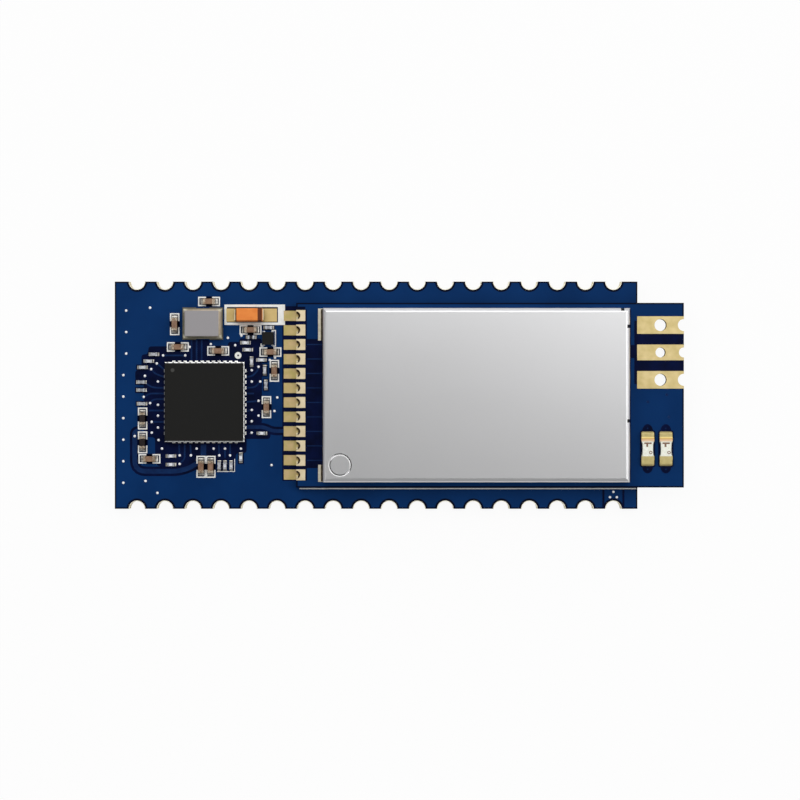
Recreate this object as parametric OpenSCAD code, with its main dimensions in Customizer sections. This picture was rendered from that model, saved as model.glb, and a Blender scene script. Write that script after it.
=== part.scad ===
// Ultra-wideband positioning module: a radio board under a shield can,
// soldered by its edge contacts onto a carrier board with a processor.
// Millimetres, +Z up, origin in the middle of the carrier's underside,
// +X towards the antenna contacts.

/* [Carrier board] */
// Length of the carrier board
carrier_l = 46; // [42:0.5:60]
// Width of the carrier board
carrier_w = 20; // [18:0.5:30]
// Thickness of the carrier board
carrier_t = 1.6; // [0.8:0.1:2.4]
// Thickness of the copper lands on both boards
land_t = 0.05; // [0.03:0.01:0.1]
// Wall of the plating in holes, half holes and vias
plating_t = 0.06; // [0.02:0.01:0.08]
// Finished radius of a via
via_r = 0.08; // [0.06:0.01:0.12]

/* [Carrier edge contacts] */
// Pitch of the half holes along each long edge
contact_pitch = 2.467; // [2.2:0.001:3]
// Finished radius of a half hole
contact_r = 0.67; // [0.4:0.01:0.8]
// Least distance from a half hole's centre to the end of the board
contact_end_gap = 1.6; // [1.2:0.1:4]
// Shift of both rows from the middle of the board
contact_shift = -0.08; // [-0.3:0.02:0.3]
// How far a contact's land reaches in along the underside
contact_land_l = 1.6; // [1.2:0.1:2.5]
// Land left beside a half hole on each side
contact_rim = 0.2; // [0.1:0.05:0.3]

/* [Processor] */
// Side of the square leadless package
mcu_size = 7; // [6:0.1:7.6]
// Height of the package
mcu_h = 0.85; // [0.6:0.05:1.2]
// Pitch of the leads
mcu_pitch = 0.5; // [0.4:0.05:0.65]
// From the left end of the carrier to the package
mcu_end_gap = 4.45; // [4:0.05:6]
// Offset of the package from the carrier's long centre line
mcu_y = -0.6; // [-1:0.1:0.4]
// Length of a lead under the package
lead_l = 0.45; // [0.3:0.05:0.6]
// Width of a lead
lead_w = 0.28; // [0.15:0.01:0.3]
// Height of a lead
lead_h = 0.2; // [0.1:0.05:0.3]
// How far a solder fillet stands out from the package
fillet_l = 0.12; // [0.08:0.01:0.2]
// Side of the heat pad under the package
mcu_heat_pad = 5.2; // [3:0.1:5.4]
// Radius of the pin one dimple
dimple_r = 0.16; // [0.1:0.02:0.3]

/* [Crystal] */
// Length of the ceramic base
crystal_l = 3.5; // [2.5:0.05:3.6]
// Width of the ceramic base
crystal_w = 2.7; // [2:0.05:3]
// Height of the ceramic base
crystal_h = 0.45; // [0.3:0.05:0.8]
// Margin of the lid inside the base
lid_margin = 0.15; // [0.1:0.05:0.4]
// Thickness of the lid
lid_t = 0.22; // [0.1:0.02:0.4]

/* [Tantalum capacitor] */
// Length of the moulded body
tantalum_l = 2.35; // [1.8:0.05:2.8]
// Width of the moulded body
tantalum_w = 1.15; // [0.8:0.05:1.4]
// Height of the moulded body above its leads
tantalum_h = 1.1; // [0.6:0.05:1.8]
// Thickness of the folded leads
tantalum_lead_t = 0.12; // [0.08:0.02:0.2]
// How far the body stands off the middle of its lands
tantalum_shift = -0.2; // [-0.25:0.05:0.25]

/* [Small chips] */
// Length of a chip capacitor or ferrite bead
cap_l = 1.05; // [0.8:0.05:1.25]
// Width of a chip capacitor or ferrite bead
cap_w = 0.5; // [0.4:0.02:0.6]
// Height of a chip capacitor or ferrite bead
cap_h = 0.5; // [0.3:0.05:0.7]
// Length of a capacitor's metal end
cap_end = 0.21; // [0.15:0.01:0.35]
// Length of a chip resistor
res_l = 0.6; // [0.5:0.02:0.7]
// Width of a chip resistor
res_w = 0.3; // [0.2:0.02:0.34]
// Height of a chip resistor
res_h = 0.25; // [0.15:0.01:0.35]
// Length of a resistor's metal end
res_end = 0.16; // [0.1:0.01:0.22]
// Thickness of the metal on a chip's ends
end_skin = 0.02; // [0.01:0.005:0.04]
// Land left showing past the end of a capacitor or ferrite bead
cap_toe = 0.23; // [0.1:0.01:0.25]
// Land left showing past the end of a resistor
res_toe = 0.16; // [0.05:0.01:0.18]
// Share of the height of a chip or lead that the solder at its end reaches
fillet_rise = 0.65; // [0.3:0.05:0.9]
// Length of the voltage regulator's body
regulator_l = 1; // [0.6:0.05:1.1]
// Width of the voltage regulator's body
regulator_w = 1.1; // [0.8:0.05:1.2]
// Height of the voltage regulator's body
regulator_h = 0.5; // [0.3:0.05:0.8]

/* [Radio board] */
// Length of the radio board
rf_l = 34; // [32:0.5:45]
// Width of the radio board
rf_w = 16.2; // [14.5:0.1:17.5]
// Thickness of the radio board
rf_t = 0.8; // [0.6:0.1:1.6]
// Pitch of the edge contacts
rf_pitch = 1.27; // [1.1:0.01:2]
// Finished radius of an edge contact's half hole
rf_hole_r = 0.36; // [0.2:0.01:0.4]
// Length of an edge contact's land
rf_land_l = 0.8; // [0.6:0.05:1]
// Width of an edge contact's land
rf_land_w = 0.96; // [0.92:0.01:1.02]
// Least distance from an outer contact's centre to the board's corner
rf_end_gap = 0.9; // [0.6:0.05:2]
// How far a landing land shows in front of the radio board
landing_l = 1.125; // [0.6:0.025:1.5]
// Width of a landing land
landing_w = 0.89; // [0.7:0.01:1]
// Free strip between the carrier's chips and the landing lands
field_gap = 0.42; // [0.2:0.02:2]

/* [Antenna contacts] */
// Length of an antenna land
ant_l = 4.1; // [3.4:0.1:5]
// Pitch of the three antenna contacts
ant_pitch = 2.4; // [2.1:0.05:2.8]
// From the radio board's upper edge to the middle contact
ant_edge_gap = 4.35; // [3.9:0.05:5]
// Width of a ground land
ant_ground_w = 1.54; // [1.4:0.02:1.8]
// Finished radius of a ground hole
ant_ground_r = 0.53; // [0.3:0.01:0.6]
// Width of the signal land
ant_signal_w = 1.38; // [1.2:0.02:1.6]
// Finished radius of the signal hole
ant_signal_r = 0.44; // [0.3:0.01:0.5]

/* [Shield can] */
// Height of the can
can_h = 1.85; // [1.5:0.05:4]
// Thickness of the sheet
sheet_t = 0.2; // [0.1:0.01:0.25]
// Outer radius of the folded edges
bend_r = 0.35; // [0.3:0.01:0.6]
// From the radio board's left edge to the can
can_left_gap = 2.37; // [1.8:0.05:4]
// From the antenna lands to the can
can_right_gap = 0.75; // [0.3:0.05:2]
// From the radio board's long edges to the can
can_side_gap = 0.5; // [0.3:0.05:1.2]
// Width of the ground lands under the can's walls
ground_w = 0.6; // [0.4:0.05:0.8]
// How far the two corner lands stand out at the left of the can
tab_out = 0.45; // [0.2:0.05:0.8]
// Length of the upper corner land
tab_upper_l = 2.8; // [1:0.1:4]
// Length of the lower corner land
tab_lower_l = 1.5; // [1:0.1:4]
// Height of the gaps under the walls where tracks pass
wall_relief = 0.35; // [0.15:0.05:0.6]
// Width of the gap for the antenna track
track_gap = 1.4; // [0.8:0.1:2]
// Width of the slits where the walls meet
slit_w = 0.12; // [0.06:0.02:0.3]
// Radius of the stamped pin one ring
ring_r = 0.93; // [0.5:0.01:1.2]
// Radius of the stamping tool's tip
ring_tip = 0.1; // [0.05:0.01:0.12]
// From the can's left and lower edges to the middle of the ring
ring_inset = 1.5; // [1.3:0.05:3]

/* [Light emitting diodes] */
// Length of a diode
led_l = 2; // [1.6:0.05:2.2]
// Width of a diode
led_w = 1.12; // [0.8:0.02:1.3]
// Height of the diode's base plate
led_base_h = 0.3; // [0.2:0.02:0.5]
// Height of the clear body on the base plate
led_lens_h = 0.45; // [0.2:0.05:0.8]
// Length of a diode's gilded end
led_end = 0.35; // [0.2:0.01:0.5]
// How far a diode's land shows past its end
led_toe = 0.5; // [0.2:0.02:0.7]
// How far a diode's sides draw in between its ends
led_waist = 0.08; // [0:0.01:0.15]
// Distance between the two diodes
led_pitch = 1.6; // [1.45:0.05:2]
// From the radio board's right edge to the middle of the pair
led_right_gap = 2.38; // [2:0.05:2.6]
// From the radio board's lower edge to the diodes' centres
led_edge_gap = 3.4; // [2.4:0.1:4]

/* [Radio chips under the can] */
// Side of the transceiver's package
transceiver_size = 6; // [5:0.1:6.5]
// Pitch of the transceiver's leads
transceiver_pitch = 0.4; // [0.35:0.05:0.5]
// Height of the radio chips
radio_chip_h = 0.75; // [0.5:0.05:1]
// Length of the reference oscillator
oscillator_l = 2.5; // [2:0.1:3]
// Width of the reference oscillator
oscillator_w = 2; // [1.6:0.1:2.2]
// Side of the transmit amplifier
transmit_amp_size = 3; // [2:0.1:3.2]
// Side of the receive amplifier
receive_amp_size = 2; // [1.5:0.1:3]
// Side of an antenna switch
switch_size = 1.8; // [1.2:0.1:1.9]
// Length of the band filter
filter_l = 2; // [1.6:0.1:2.4]
// Width of the band filter
filter_w = 1.25; // [0.8:0.05:1.6]
// Height of the band filter and the balun
filter_h = 0.7; // [0.4:0.05:0.95]
// Length of the balun
balun_l = 1.6; // [1:0.1:1.7]
// Width of the balun
balun_w = 0.8; // [0.5:0.05:1.6]

/* [Hidden] */
$fn = 48;

// Overlap of a cutting shape past the face that it opens
cut = 0.05;
// Thickness of the terminals under a ceramic package
terminal_t = 0.05;
// Depth of the pin one dimple
dimple_d = 0.03;
// Height of the frame that a package's lid is welded to
seal_t = 0.06;
// Bevels round the top of a moulded package and of a lid: across and down
body_bevel = [0.08, 0.055];
lid_bevel = [0.11, 0.08];

gold = [0.80, 0.72, 0.48];
tin = [0.80, 0.80, 0.78];
board_blue = [0.05, 0.21, 0.42];
mould_black = [0.14, 0.14, 0.14];
ceramic_brown = [0.55, 0.40, 0.32];
white_ceramic = [0.90, 0.89, 0.86];

// Heights of the seats on the two boards
carrier_seat = carrier_t + land_t;
rf_z = carrier_t + 2 * land_t;
rf_top = rf_z + rf_t;
rf_seat = rf_top + land_t;

// Carrier contacts: as many as fit along the edge
contact_count = floor((carrier_l - 2 * contact_end_gap) / contact_pitch) + 1;
function contact_x(i) = contact_shift + (i - (contact_count - 1) / 2) * contact_pitch;

// Processor: its centre, and places measured from its four sides
mcu_x = -carrier_l / 2 + mcu_end_gap + mcu_size / 2;
mcu_corner = 0.7;
mcu_pins = floor((mcu_size - 2 * mcu_corner) / mcu_pitch) + 1;
function right_of_mcu(s) = [mcu_x + mcu_size / 2 + s[0], mcu_y + s[1], s[2]];
function left_of_mcu(s) = [mcu_x - mcu_size / 2 - s[0], mcu_y + s[1], s[2]];
function above_mcu(s) = [mcu_x + s[0], mcu_y + mcu_size / 2 + s[1], s[2]];
function below_mcu(s) = [mcu_x + s[0], mcu_y - mcu_size / 2 - s[1], s[2]];

// Places are [x, y, turn]: 0 lies along X and 90 along Y
crystal_spot = above_mcu([-0.2, 3.4, 0]);
tantalum_spot = above_mcu([4.1, 4.15, 0]);
regulator_spot = above_mcu([5.55, 2.1, 0]);
capacitor_spots = concat(
    [
        [crystal_spot[0] + 0.55, crystal_spot[1] + crystal_w / 2 + 0.6, 0],
        [crystal_spot[0] - crystal_l / 2 - 0.725, crystal_spot[1] - 0.05, 90]
    ],
    [for (s = [[-2.4, 1.35, 0], [1.15, 1, 0], [4, 2.85, 0], [5.75, 0.9, 0]]) above_mcu(s)],
    [for (s = [[2.6, 2.75, 90], [1.9, -0.45, 90]]) right_of_mcu(s)],
    [for (s = [[-0.35, 2.2, 90], [0.5, 2.2, 90]]) below_mcu(s)],
    [left_of_mcu([1.4, -5, 0])]
);
ferrite_spots = [for (y = [-1.45, -3.55]) left_of_mcu([2, y, 90])];
resistor_spots = concat(
    [for (s = [[1, 4.2], [1.45, 3.6], [2, 3.05], [2.1, 1.75], [2.1, 1.05], [2.05, -0.15]])
        left_of_mcu([s[0], s[1], 0])],
    [for (s = [[5.6, 3.05], [4.05, 2.2], [3.55, 1.72], [3.75, 1.1]]) above_mcu([s[0], s[1], 0])],
    [for (s = [[1.45, 3.7, 0], [1.5, -2.75, 0], [0.6, 3.55, 90], [1.75, 2.8, 90], [1.85, 1.5, 90]])
        right_of_mcu(s)],
    [for (s = [[-3, 1.25, 0], [-3, 2, 0], [1.25, 2.1, 90], [1.75, 2.1, 90], [2.3, 2.1, 90], [3.15, 1.4, 90]])
        below_mcu(s)]
);

// Vias: a row along the left end, the fan-out round the processor and a
// group of three at the last contact
edge_via_pitch = 1.895;
edge_via_top = carrier_w / 2 - 2.55;
edge_via_gap = 0.75;
edge_via_step = 0.25;
via_spots = concat(
    [for (i = [0:8])
        [-carrier_l / 2 + edge_via_gap + (i < 3 ? edge_via_step : 0), edge_via_top - i * edge_via_pitch]],
    [for (s = [[3.1, -2.3, 1], [2.7, 2.45, -1], [3.75, 1.4, -1]])
        [-carrier_l / 2 + s[0], s[2] * carrier_w / 2 + s[1]]],
    [for (s = [
        [0.2, 4.1], [0.75, 3.4], [1.25, 2.9], [1.8, 2.3], [1.9, 0.45], [1.35, -0.1],
        [0.65, 1.8], [0.65, -0.25], [0.65, -1.2], [1.2, -1.75], [0.65, -2.25],
        [1.2, -2.7], [0.6, -3.35], [0.3, -4.1], [2.7, -3]
    ]) left_of_mcu(s)],
    [for (s = [
        [-2.25, 1.2], [-2.25, 1.95], [-1.25, 1.2], [-0.75, 0.6], [0.75, 0.6],
        [1.75, 0.6], [3.15, 0.6], [1.25, 1.2], [2.2, 1.2]
    ]) below_mcu(s)],
    [for (s = [[-1.75, 0.6], [-1.35, 1.35], [0.5, 1.6], [2, 2.15], [2.65, 1.5], [3.2, 2.35]])
        above_mcu(s)],
    [for (s = [
        [2.65, 3.9], [2.2, 3.7], [1.2, 3.1], [0.6, 2.8], [0.6, 1.8], [1.35, 1.8], [1.2, 0.1],
        [0.6, -0.7], [1.2, -1.2], [0.6, -1.7], [0.6, -2.7], [2.85, 0.4], [2.6, -0.8], [2.35, -5.55]
    ]) right_of_mcu(s)],
    [for (s = [[0, 1.5], [-0.3, 1.02], [0.3, 1.02]])
        [contact_x(contact_count - 1) + s[0], -carrier_w / 2 + s[1]]]
);

// The radio board starts past the chip that reaches furthest to the right
tantalum_toe = 0.93;
tantalum_span = tantalum_l + 2 * tantalum_lead_t + 2 * tantalum_toe;
chip_reach = max(
    max([for (s = capacitor_spots) s[0] + (s[2] == 0 ? cap_l / 2 + cap_toe : cap_w / 2)]),
    tantalum_spot[0] + tantalum_span / 2
);
rf_x0 = chip_reach + field_gap + landing_l;
rf_x1 = rf_x0 + rf_l;
rf_count = floor((rf_w - 2 * rf_end_gap) / rf_pitch) + 1;
function rf_contact_y(i) = (i - (rf_count - 1) / 2) * rf_pitch;

// Antenna contacts, in line with the board's right edge
ant_y = rf_w / 2 - ant_edge_gap;

// Can, its inside, and the diodes beside it
can_x0 = rf_x0 + can_left_gap;
can_x1 = rf_x1 - ant_l - can_right_gap;
can_l = can_x1 - can_x0;
can_w = rf_w - 2 * can_side_gap;
can_x = (can_x0 + can_x1) / 2;
led_spots = [for (s = [-1, 1])
    [rf_x1 - led_right_gap + s * led_pitch / 2, -rf_w / 2 + led_edge_gap, 90]];

// Radio chips, placed from the left end of the can
function in_can(s) = [can_x0 + s[0], s[1], s[2]];
transceiver_corner = 0.8;
transceiver_pins = floor((transceiver_size - 2 * transceiver_corner) / transceiver_pitch) + 1;
transceiver_spot = in_can([6.5, 0, 0]);
oscillator_spot = in_can([4, 4.6, 0]);
balun_spot = in_can([10.9, 0, 0]);
switch_spots = [in_can([13, 0, 0]), in_can([17.2, 0, 0])];
transmit_amp_spot = in_can([15.1, 3.2, 0]);
receive_amp_spot = in_can([15.1, -3, 0]);
filter_spot = in_can([19.8, 0, 0]);
radio_capacitor_spots = [for (s = [
    [2, 1.3, 90], [2, -1.3, 90], [6.4, 4.7, 0], [8.4, 4.7, 0],
    [6.4, -4.7, 0], [8.4, -4.7, 0], [12.6, 3.6, 90], [12.6, -3.6, 90]
]) in_can(s)];
radio_pin_pitch = 0.5;
function radio_pins(size) = floor((size - 2 * mcu_corner) / radio_pin_pitch) + 1;

// Block centred on X and Y, with its foot at height z
module block(size, z = 0) {
    translate([-size[0] / 2, -size[1] / 2, z]) cube(size);
}

// Puts a shape at every place of a list
module put(spots) {
    for (s = spots) translate([s[0], s[1], 0]) rotate(s[2]) children();
}

// Plated half hole on the line x = 0, open towards -X
module half_barrel(r, z, h) {
    translate([0, 0, z]) rotate(-90) rotate_extrude(angle = 180) translate([r, 0]) square([plating_t, h]);
}

// Plated hole through a board
module barrel(r, z, h) {
    difference() {
        translate([0, 0, z]) cylinder(r = r + plating_t, h = h);
        translate([0, 0, z - cut]) cylinder(r = r, h = h + 2 * cut);
    }
}

// Drill for a plated hole of the finished radius r
module drill(r, z, h) {
    translate([0, 0, z - cut]) cylinder(r = r + plating_t, h = h + 2 * cut);
}

// Ceramic block of a chip with metal ends
module chip_core(size, z) {
    block([size[0] - 2 * end_skin, size[1] - 2 * end_skin, size[2] - 2 * end_skin], z + end_skin);
}

// The two metal caps over the ends of a chip
module chip_ends(size, end, z) {
    difference() {
        for (s = [-1, 1]) translate([s * (size[0] - end) / 2, 0, 0]) block([end, size[1], size[2]], z);
        chip_core(size, z);
    }
}

// The two lands under the ends of a chip
module chip_land_pair(size, end, toe, z) {
    for (s = [-1, 1]) translate([s * (size[0] - end + toe) / 2, 0, 0])
        block([end + toe, size[1], land_t], z);
}

// Hollow wedge of solder standing out along +X from the line x = 0
module fillet(l, w, h) {
    curve = [for (a = [0:22.5:90]) [l * (1 - sin(a)), h * (1 - cos(a))]];
    translate([0, w / 2, 0]) rotate([90, 0, 0]) linear_extrude(w) polygon(concat([[0, 0]], curve));
}

// Solder drawn up the two ends of a chip
module chip_fillets(size, toe, z) {
    for (a = [0, 180]) rotate(a) translate([size[0] / 2, 0, z])
        fillet(toe, size[1], fillet_rise * size[2]);
}

// Plate with a bevel, across and down, round its upper edge
module bevelled_plate(size, bevel, z) {
    intersection() {
        translate([0, size[1], z]) rotate([90, 0, 0]) linear_extrude(2 * size[1])
            bevelled_section(size[0], size[2], bevel);
        translate([-size[0], 0, z]) rotate([90, 0, 90]) linear_extrude(2 * size[0])
            bevelled_section(size[1], size[2], bevel);
    }
}

// Side view of such a plate
module bevelled_section(w, h, bevel) {
    polygon([
        [-w / 2, 0], [w / 2, 0], [w / 2, h - bevel[1]], [w / 2 - bevel[0], h],
        [-w / 2 + bevel[0], h], [-w / 2, h - bevel[1]]
    ]);
}

// Repeats a shape along the four sides of a square package, +X pointing out
module on_four_sides(size, pitch, pins) {
    for (a = [0:90:270]) rotate(a)
        for (i = [0:pins - 1]) translate([size / 2, (i - (pins - 1) / 2) * pitch, 0]) children();
}

// Flush leads of a leadless package, with a heat pad in the middle
module leadless_leads(size, pitch, pins, heat_pad, z) {
    on_four_sides(size, pitch, pins)
        translate([-lead_l, -lead_w / 2, z]) cube([lead_l, lead_w, lead_h]);
    block([heat_pad, heat_pad, lead_h], z);
}

// Moulded package with pockets for its leads
module leadless_body(size, h, pitch, pins, heat_pad, z) {
    difference() {
        bevelled_plate([size, size, h], body_bevel, z);
        on_four_sides(size, pitch, pins)
            translate([-lead_l, -lead_w / 2, z - cut]) cube([lead_l + cut, lead_w, lead_h + cut]);
        block([heat_pad, heat_pad, lead_h + cut], z - cut);
    }
}

// Lands of a leadless package, longer than the leads by the toe
module leadless_lands(size, pitch, pins, heat_pad, toe, z) {
    on_four_sides(size, pitch, pins)
        translate([-lead_l, -lead_w / 2, z]) cube([lead_l + toe, lead_w, land_t]);
    block([heat_pad, heat_pad, land_t], z);
}

// Carrier board
module at_contacts() {
    for (i = [0:contact_count - 1], side = [-1, 1])
        translate([contact_x(i), side * carrier_w / 2, 0]) rotate(-90 * side) children();
}

// Land round a half hole, running past the board's edge by the overlap
module contact_land(z, h, over = 0) {
    land_w = 2 * (contact_r + plating_t + contact_rim);
    translate([-over, -land_w / 2, z]) cube([contact_land_l + over, land_w, h]);
}

module at_vias() {
    for (s = via_spots) translate([s[0], s[1], 0]) children();
}

module carrier_board() {
    color(board_blue) difference() {
        block([carrier_l, carrier_w, carrier_t]);
        at_contacts() drill(contact_r, 0, carrier_t);
        at_contacts() contact_land(-cut, land_t + cut, cut);
        at_vias() drill(via_r, 0, carrier_t);
    }
}

// Half hole and a land on the underside, pierced where a via stands in it
module carrier_edge_contacts() {
    color(gold) difference() {
        at_contacts() {
            half_barrel(contact_r, 0, carrier_t);
            difference() {
                contact_land(0, land_t);
                cylinder(r = contact_r + plating_t / 2, h = carrier_t, center = true);
            }
        }
        at_vias() drill(via_r, 0, carrier_t);
    }
}

module carrier_vias() {
    color(tin) at_vias() barrel(via_r, 0, carrier_t);
}

module at_rf_contacts() {
    for (i = [0:rf_count - 1]) translate([rf_x0, rf_contact_y(i), 0]) children();
}

module landing_lands() {
    color(gold) at_rf_contacts()
        translate([-landing_l, -landing_w / 2, carrier_t]) cube([landing_l + rf_land_l, landing_w, land_t]);
}

// Processor
module mcu_lands() {
    color(gold) translate([mcu_x, mcu_y, 0])
        leadless_lands(mcu_size, mcu_pitch, mcu_pins, mcu_heat_pad, fillet_l, carrier_t);
}

module mcu_leads() {
    color(tin) translate([mcu_x, mcu_y, 0])
        leadless_leads(mcu_size, mcu_pitch, mcu_pins, mcu_heat_pad, carrier_seat);
}

module mcu_body() {
    color(mould_black) translate([mcu_x, mcu_y, 0]) difference() {
        leadless_body(mcu_size, mcu_h, mcu_pitch, mcu_pins, mcu_heat_pad, carrier_seat);
        translate([-mcu_size / 2 + mcu_corner, mcu_size / 2 - mcu_corner, carrier_seat + mcu_h - dimple_d])
            cylinder(r = dimple_r, h = dimple_d + cut);
    }
}

module mcu_solder_fillets() {
    color(tin) translate([mcu_x, mcu_y, carrier_seat]) on_four_sides(mcu_size, mcu_pitch, mcu_pins)
        fillet(fillet_l, lead_w, fillet_rise * lead_h);
}

// Crystal in a ceramic package with a welded metal lid
module corner_blocks(span, size, z) {
    for (sx = [-1, 1], sy = [-1, 1])
        translate([sx * (span[0] - size[0]) / 2, sy * (span[1] - size[1]) / 2, 0]) block(size, z);
}

crystal_land = [1.2, 1.05, land_t];
crystal_land_toe = 0.08;
terminal_inset = 0.05;

module crystal_lands() {
    span = [crystal_l + crystal_land_toe, crystal_w + 2 * crystal_land_toe];
    color(gold) put([crystal_spot]) corner_blocks(span, crystal_land, carrier_t);
}

module ceramic_terminals(l, w, z) {
    corner_blocks([l - 2 * terminal_inset, w - 2 * terminal_inset], [l / 3, w / 3, terminal_t], z);
}

module ceramic_base(l, w, h, z) {
    notch_r = 0.15;
    difference() {
        block([l, w, h], z);
        for (sx = [-1, 1], sy = [-1, 1]) translate([sx * l / 2, sy * w / 2, z - cut])
            cylinder(r = notch_r, h = h + 2 * cut);
    }
}

module crystal_terminals() {
    color(gold) put([crystal_spot]) ceramic_terminals(crystal_l, crystal_w, carrier_seat);
}

crystal_base_z = carrier_seat + terminal_t;
crystal_seal_z = crystal_base_z + crystal_h;
seal_edge = 0.16;
seal_w = 0.35;

module crystal_base() {
    color(white_ceramic) put([crystal_spot]) ceramic_base(crystal_l, crystal_w, crystal_h, crystal_base_z);
}

module crystal_seal_ring() {
    outer = [crystal_l - 2 * seal_edge, crystal_w - 2 * seal_edge];
    color(gold) put([crystal_spot]) difference() {
        block([outer[0], outer[1], seal_t], crystal_seal_z);
        block([outer[0] - 2 * seal_w, outer[1] - 2 * seal_w, seal_t + 2 * cut], crystal_seal_z - cut);
    }
}

module crystal_lid() {
    color([0.62, 0.61, 0.60]) put([crystal_spot]) bevelled_plate(
        [crystal_l - 2 * lid_margin, crystal_w - 2 * lid_margin, lid_t],
        lid_bevel, crystal_seal_z + seal_t);
}

// Tantalum capacitor: a moulded block with leads folded under both ends
tantalum_foot_l = 0.6;
tantalum_lead_margin = 0.115;

module tantalum_lands() {
    land_l = tantalum_toe + tantalum_lead_t + tantalum_foot_l;
    color(gold) put([tantalum_spot]) for (s = [-1, 1])
        translate([s * (tantalum_span - land_l) / 2, 0, 0]) block([land_l, tantalum_w, land_t], carrier_t);
}

module at_tantalum() {
    put([tantalum_spot]) translate([tantalum_shift, 0, 0]) children();
}

module tantalum_leads() {
    lead_wide = tantalum_w - 2 * tantalum_lead_margin;
    color(tin) at_tantalum() for (s = [-1, 1]) {
        translate([s * (tantalum_l + tantalum_lead_t - tantalum_foot_l) / 2, 0, 0])
            block([tantalum_foot_l + tantalum_lead_t, lead_wide, tantalum_lead_t], carrier_seat);
        translate([s * (tantalum_l + tantalum_lead_t) / 2, 0, 0])
            block([tantalum_lead_t, lead_wide, tantalum_h / 2 + tantalum_lead_t], carrier_seat);
    }
}

module tantalum_body() {
    bevel = [0.11, 0.2];
    color([0.88, 0.53, 0.27]) at_tantalum()
        bevelled_plate([tantalum_l, tantalum_w, tantalum_h], bevel, carrier_seat + tantalum_lead_t);
}

// Voltage regulator: a small moulded chip on four flush leads
regulator_lead = [0.22, 0.28, 0.1];
regulator_toe = 0.1;

module regulator_lands() {
    color(gold) put([regulator_spot])
        corner_blocks([regulator_l, regulator_w + 2 * regulator_toe],
            [regulator_lead[0], regulator_lead[1] + regulator_toe, land_t], carrier_t);
}

module regulator_leads() {
    color(tin) put([regulator_spot]) corner_blocks([regulator_l, regulator_w], regulator_lead, carrier_seat);
}

module regulator_body() {
    over = [regulator_lead[0] + cut, regulator_lead[1] + cut, regulator_lead[2] + cut];
    color(mould_black) put([regulator_spot]) difference() {
        block([regulator_l, regulator_w, regulator_h], carrier_seat);
        corner_blocks([regulator_l + 2 * cut, regulator_w + 2 * cut], over, carrier_seat - cut);
    }
}

// Chip capacitors, ferrite beads and chip resistors
cap_size = [cap_l, cap_w, cap_h];
res_size = [res_l, res_w, res_h];

module chip_lands() {
    color(gold) {
        put(concat(capacitor_spots, ferrite_spots)) chip_land_pair(cap_size, cap_end, cap_toe, carrier_t);
        put(resistor_spots) chip_land_pair(res_size, res_end, res_toe, carrier_t);
    }
}

module capacitor_bodies() {
    color(ceramic_brown) put(capacitor_spots) chip_core(cap_size, carrier_seat);
}

module capacitor_ends() {
    color(tin) put(capacitor_spots) chip_ends(cap_size, cap_end, carrier_seat);
}

module ferrite_bodies() {
    color(mould_black) put(ferrite_spots) chip_core(cap_size, carrier_seat);
}

module ferrite_ends() {
    color(tin) put(ferrite_spots) chip_ends(cap_size, cap_end, carrier_seat);
}

module resistor_bodies() {
    color([0.35, 0.36, 0.40]) put(resistor_spots) chip_core(res_size, carrier_seat);
}

module resistor_ends() {
    color(tin) put(resistor_spots) chip_ends(res_size, res_end, carrier_seat);
}

module chip_solder_fillets() {
    color(tin) {
        put(concat(capacitor_spots, ferrite_spots)) chip_fillets(cap_size, cap_toe, carrier_seat);
        put(resistor_spots) chip_fillets(res_size, res_toe, carrier_seat);
    }
}

// Radio board
module at_antenna_grounds() {
    for (s = [-1, 1]) translate([rf_x1, ant_y + s * ant_pitch, 0]) children();
}

module at_antenna_signal() {
    translate([rf_x1, ant_y, 0]) children();
}

module antenna_drills(r) {
    drill(r, rf_z, rf_t);
    translate([-ant_l / 2, 0, 0]) drill(r, rf_z, rf_t);
}

module rf_board() {
    color(board_blue) difference() {
        translate([rf_x0, -rf_w / 2, rf_z]) cube([rf_l, rf_w, rf_t]);
        at_rf_contacts() drill(rf_hole_r, rf_z, rf_t);
        at_antenna_grounds() antenna_drills(ant_ground_r);
        at_antenna_signal() antenna_drills(ant_signal_r);
    }
}

// Edge contact: lands above and below, joined by a plated half hole
module rf_edge_contacts() {
    color(gold) at_rf_contacts() {
        half_barrel(rf_hole_r, carrier_seat, rf_seat - carrier_seat);
        difference() {
            for (z = [carrier_seat, rf_top])
                translate([0, -rf_land_w / 2, z]) cube([rf_land_l, rf_land_w, land_t]);
            translate([0, 0, carrier_seat - cut])
                cylinder(r = rf_hole_r + plating_t / 2, h = rf_seat - carrier_seat + 2 * cut);
        }
    }
}

// Hollow of solder drawn up inside each half hole
module module_solder_fillets() {
    rise = rf_t / 2;
    curve = [for (a = [0:15:90]) [rf_hole_r * sin(a), rise * (1 - cos(a))]];
    color(tin) at_rf_contacts() translate([0, 0, carrier_seat])
        rotate(-90) rotate_extrude(angle = 180) polygon(concat([[rf_hole_r, 0]], curve));
}

// Antenna contact: long lands on both faces, a plated hole and a half hole
module antenna_contact(land_w, r) {
    difference() {
        for (z = [rf_z - land_t, rf_top]) translate([-ant_l, -land_w / 2, z]) cube([ant_l, land_w, land_t]);
        for (x = [0, -ant_l / 2]) translate([x, 0, rf_z - land_t - cut])
            cylinder(r = r + plating_t / 2, h = rf_t + 2 * land_t + 2 * cut);
    }
    translate([-ant_l / 2, 0, 0]) barrel(r, rf_z - land_t, rf_t + 2 * land_t);
    rotate(180) half_barrel(r, rf_z - land_t, rf_t + 2 * land_t);
}

module antenna_ground_contacts() {
    color(gold) at_antenna_grounds() antenna_contact(ant_ground_w, ant_ground_r);
}

module antenna_signal_contact() {
    color(gold) at_antenna_signal() antenna_contact(ant_signal_w, ant_signal_r);
}

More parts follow.
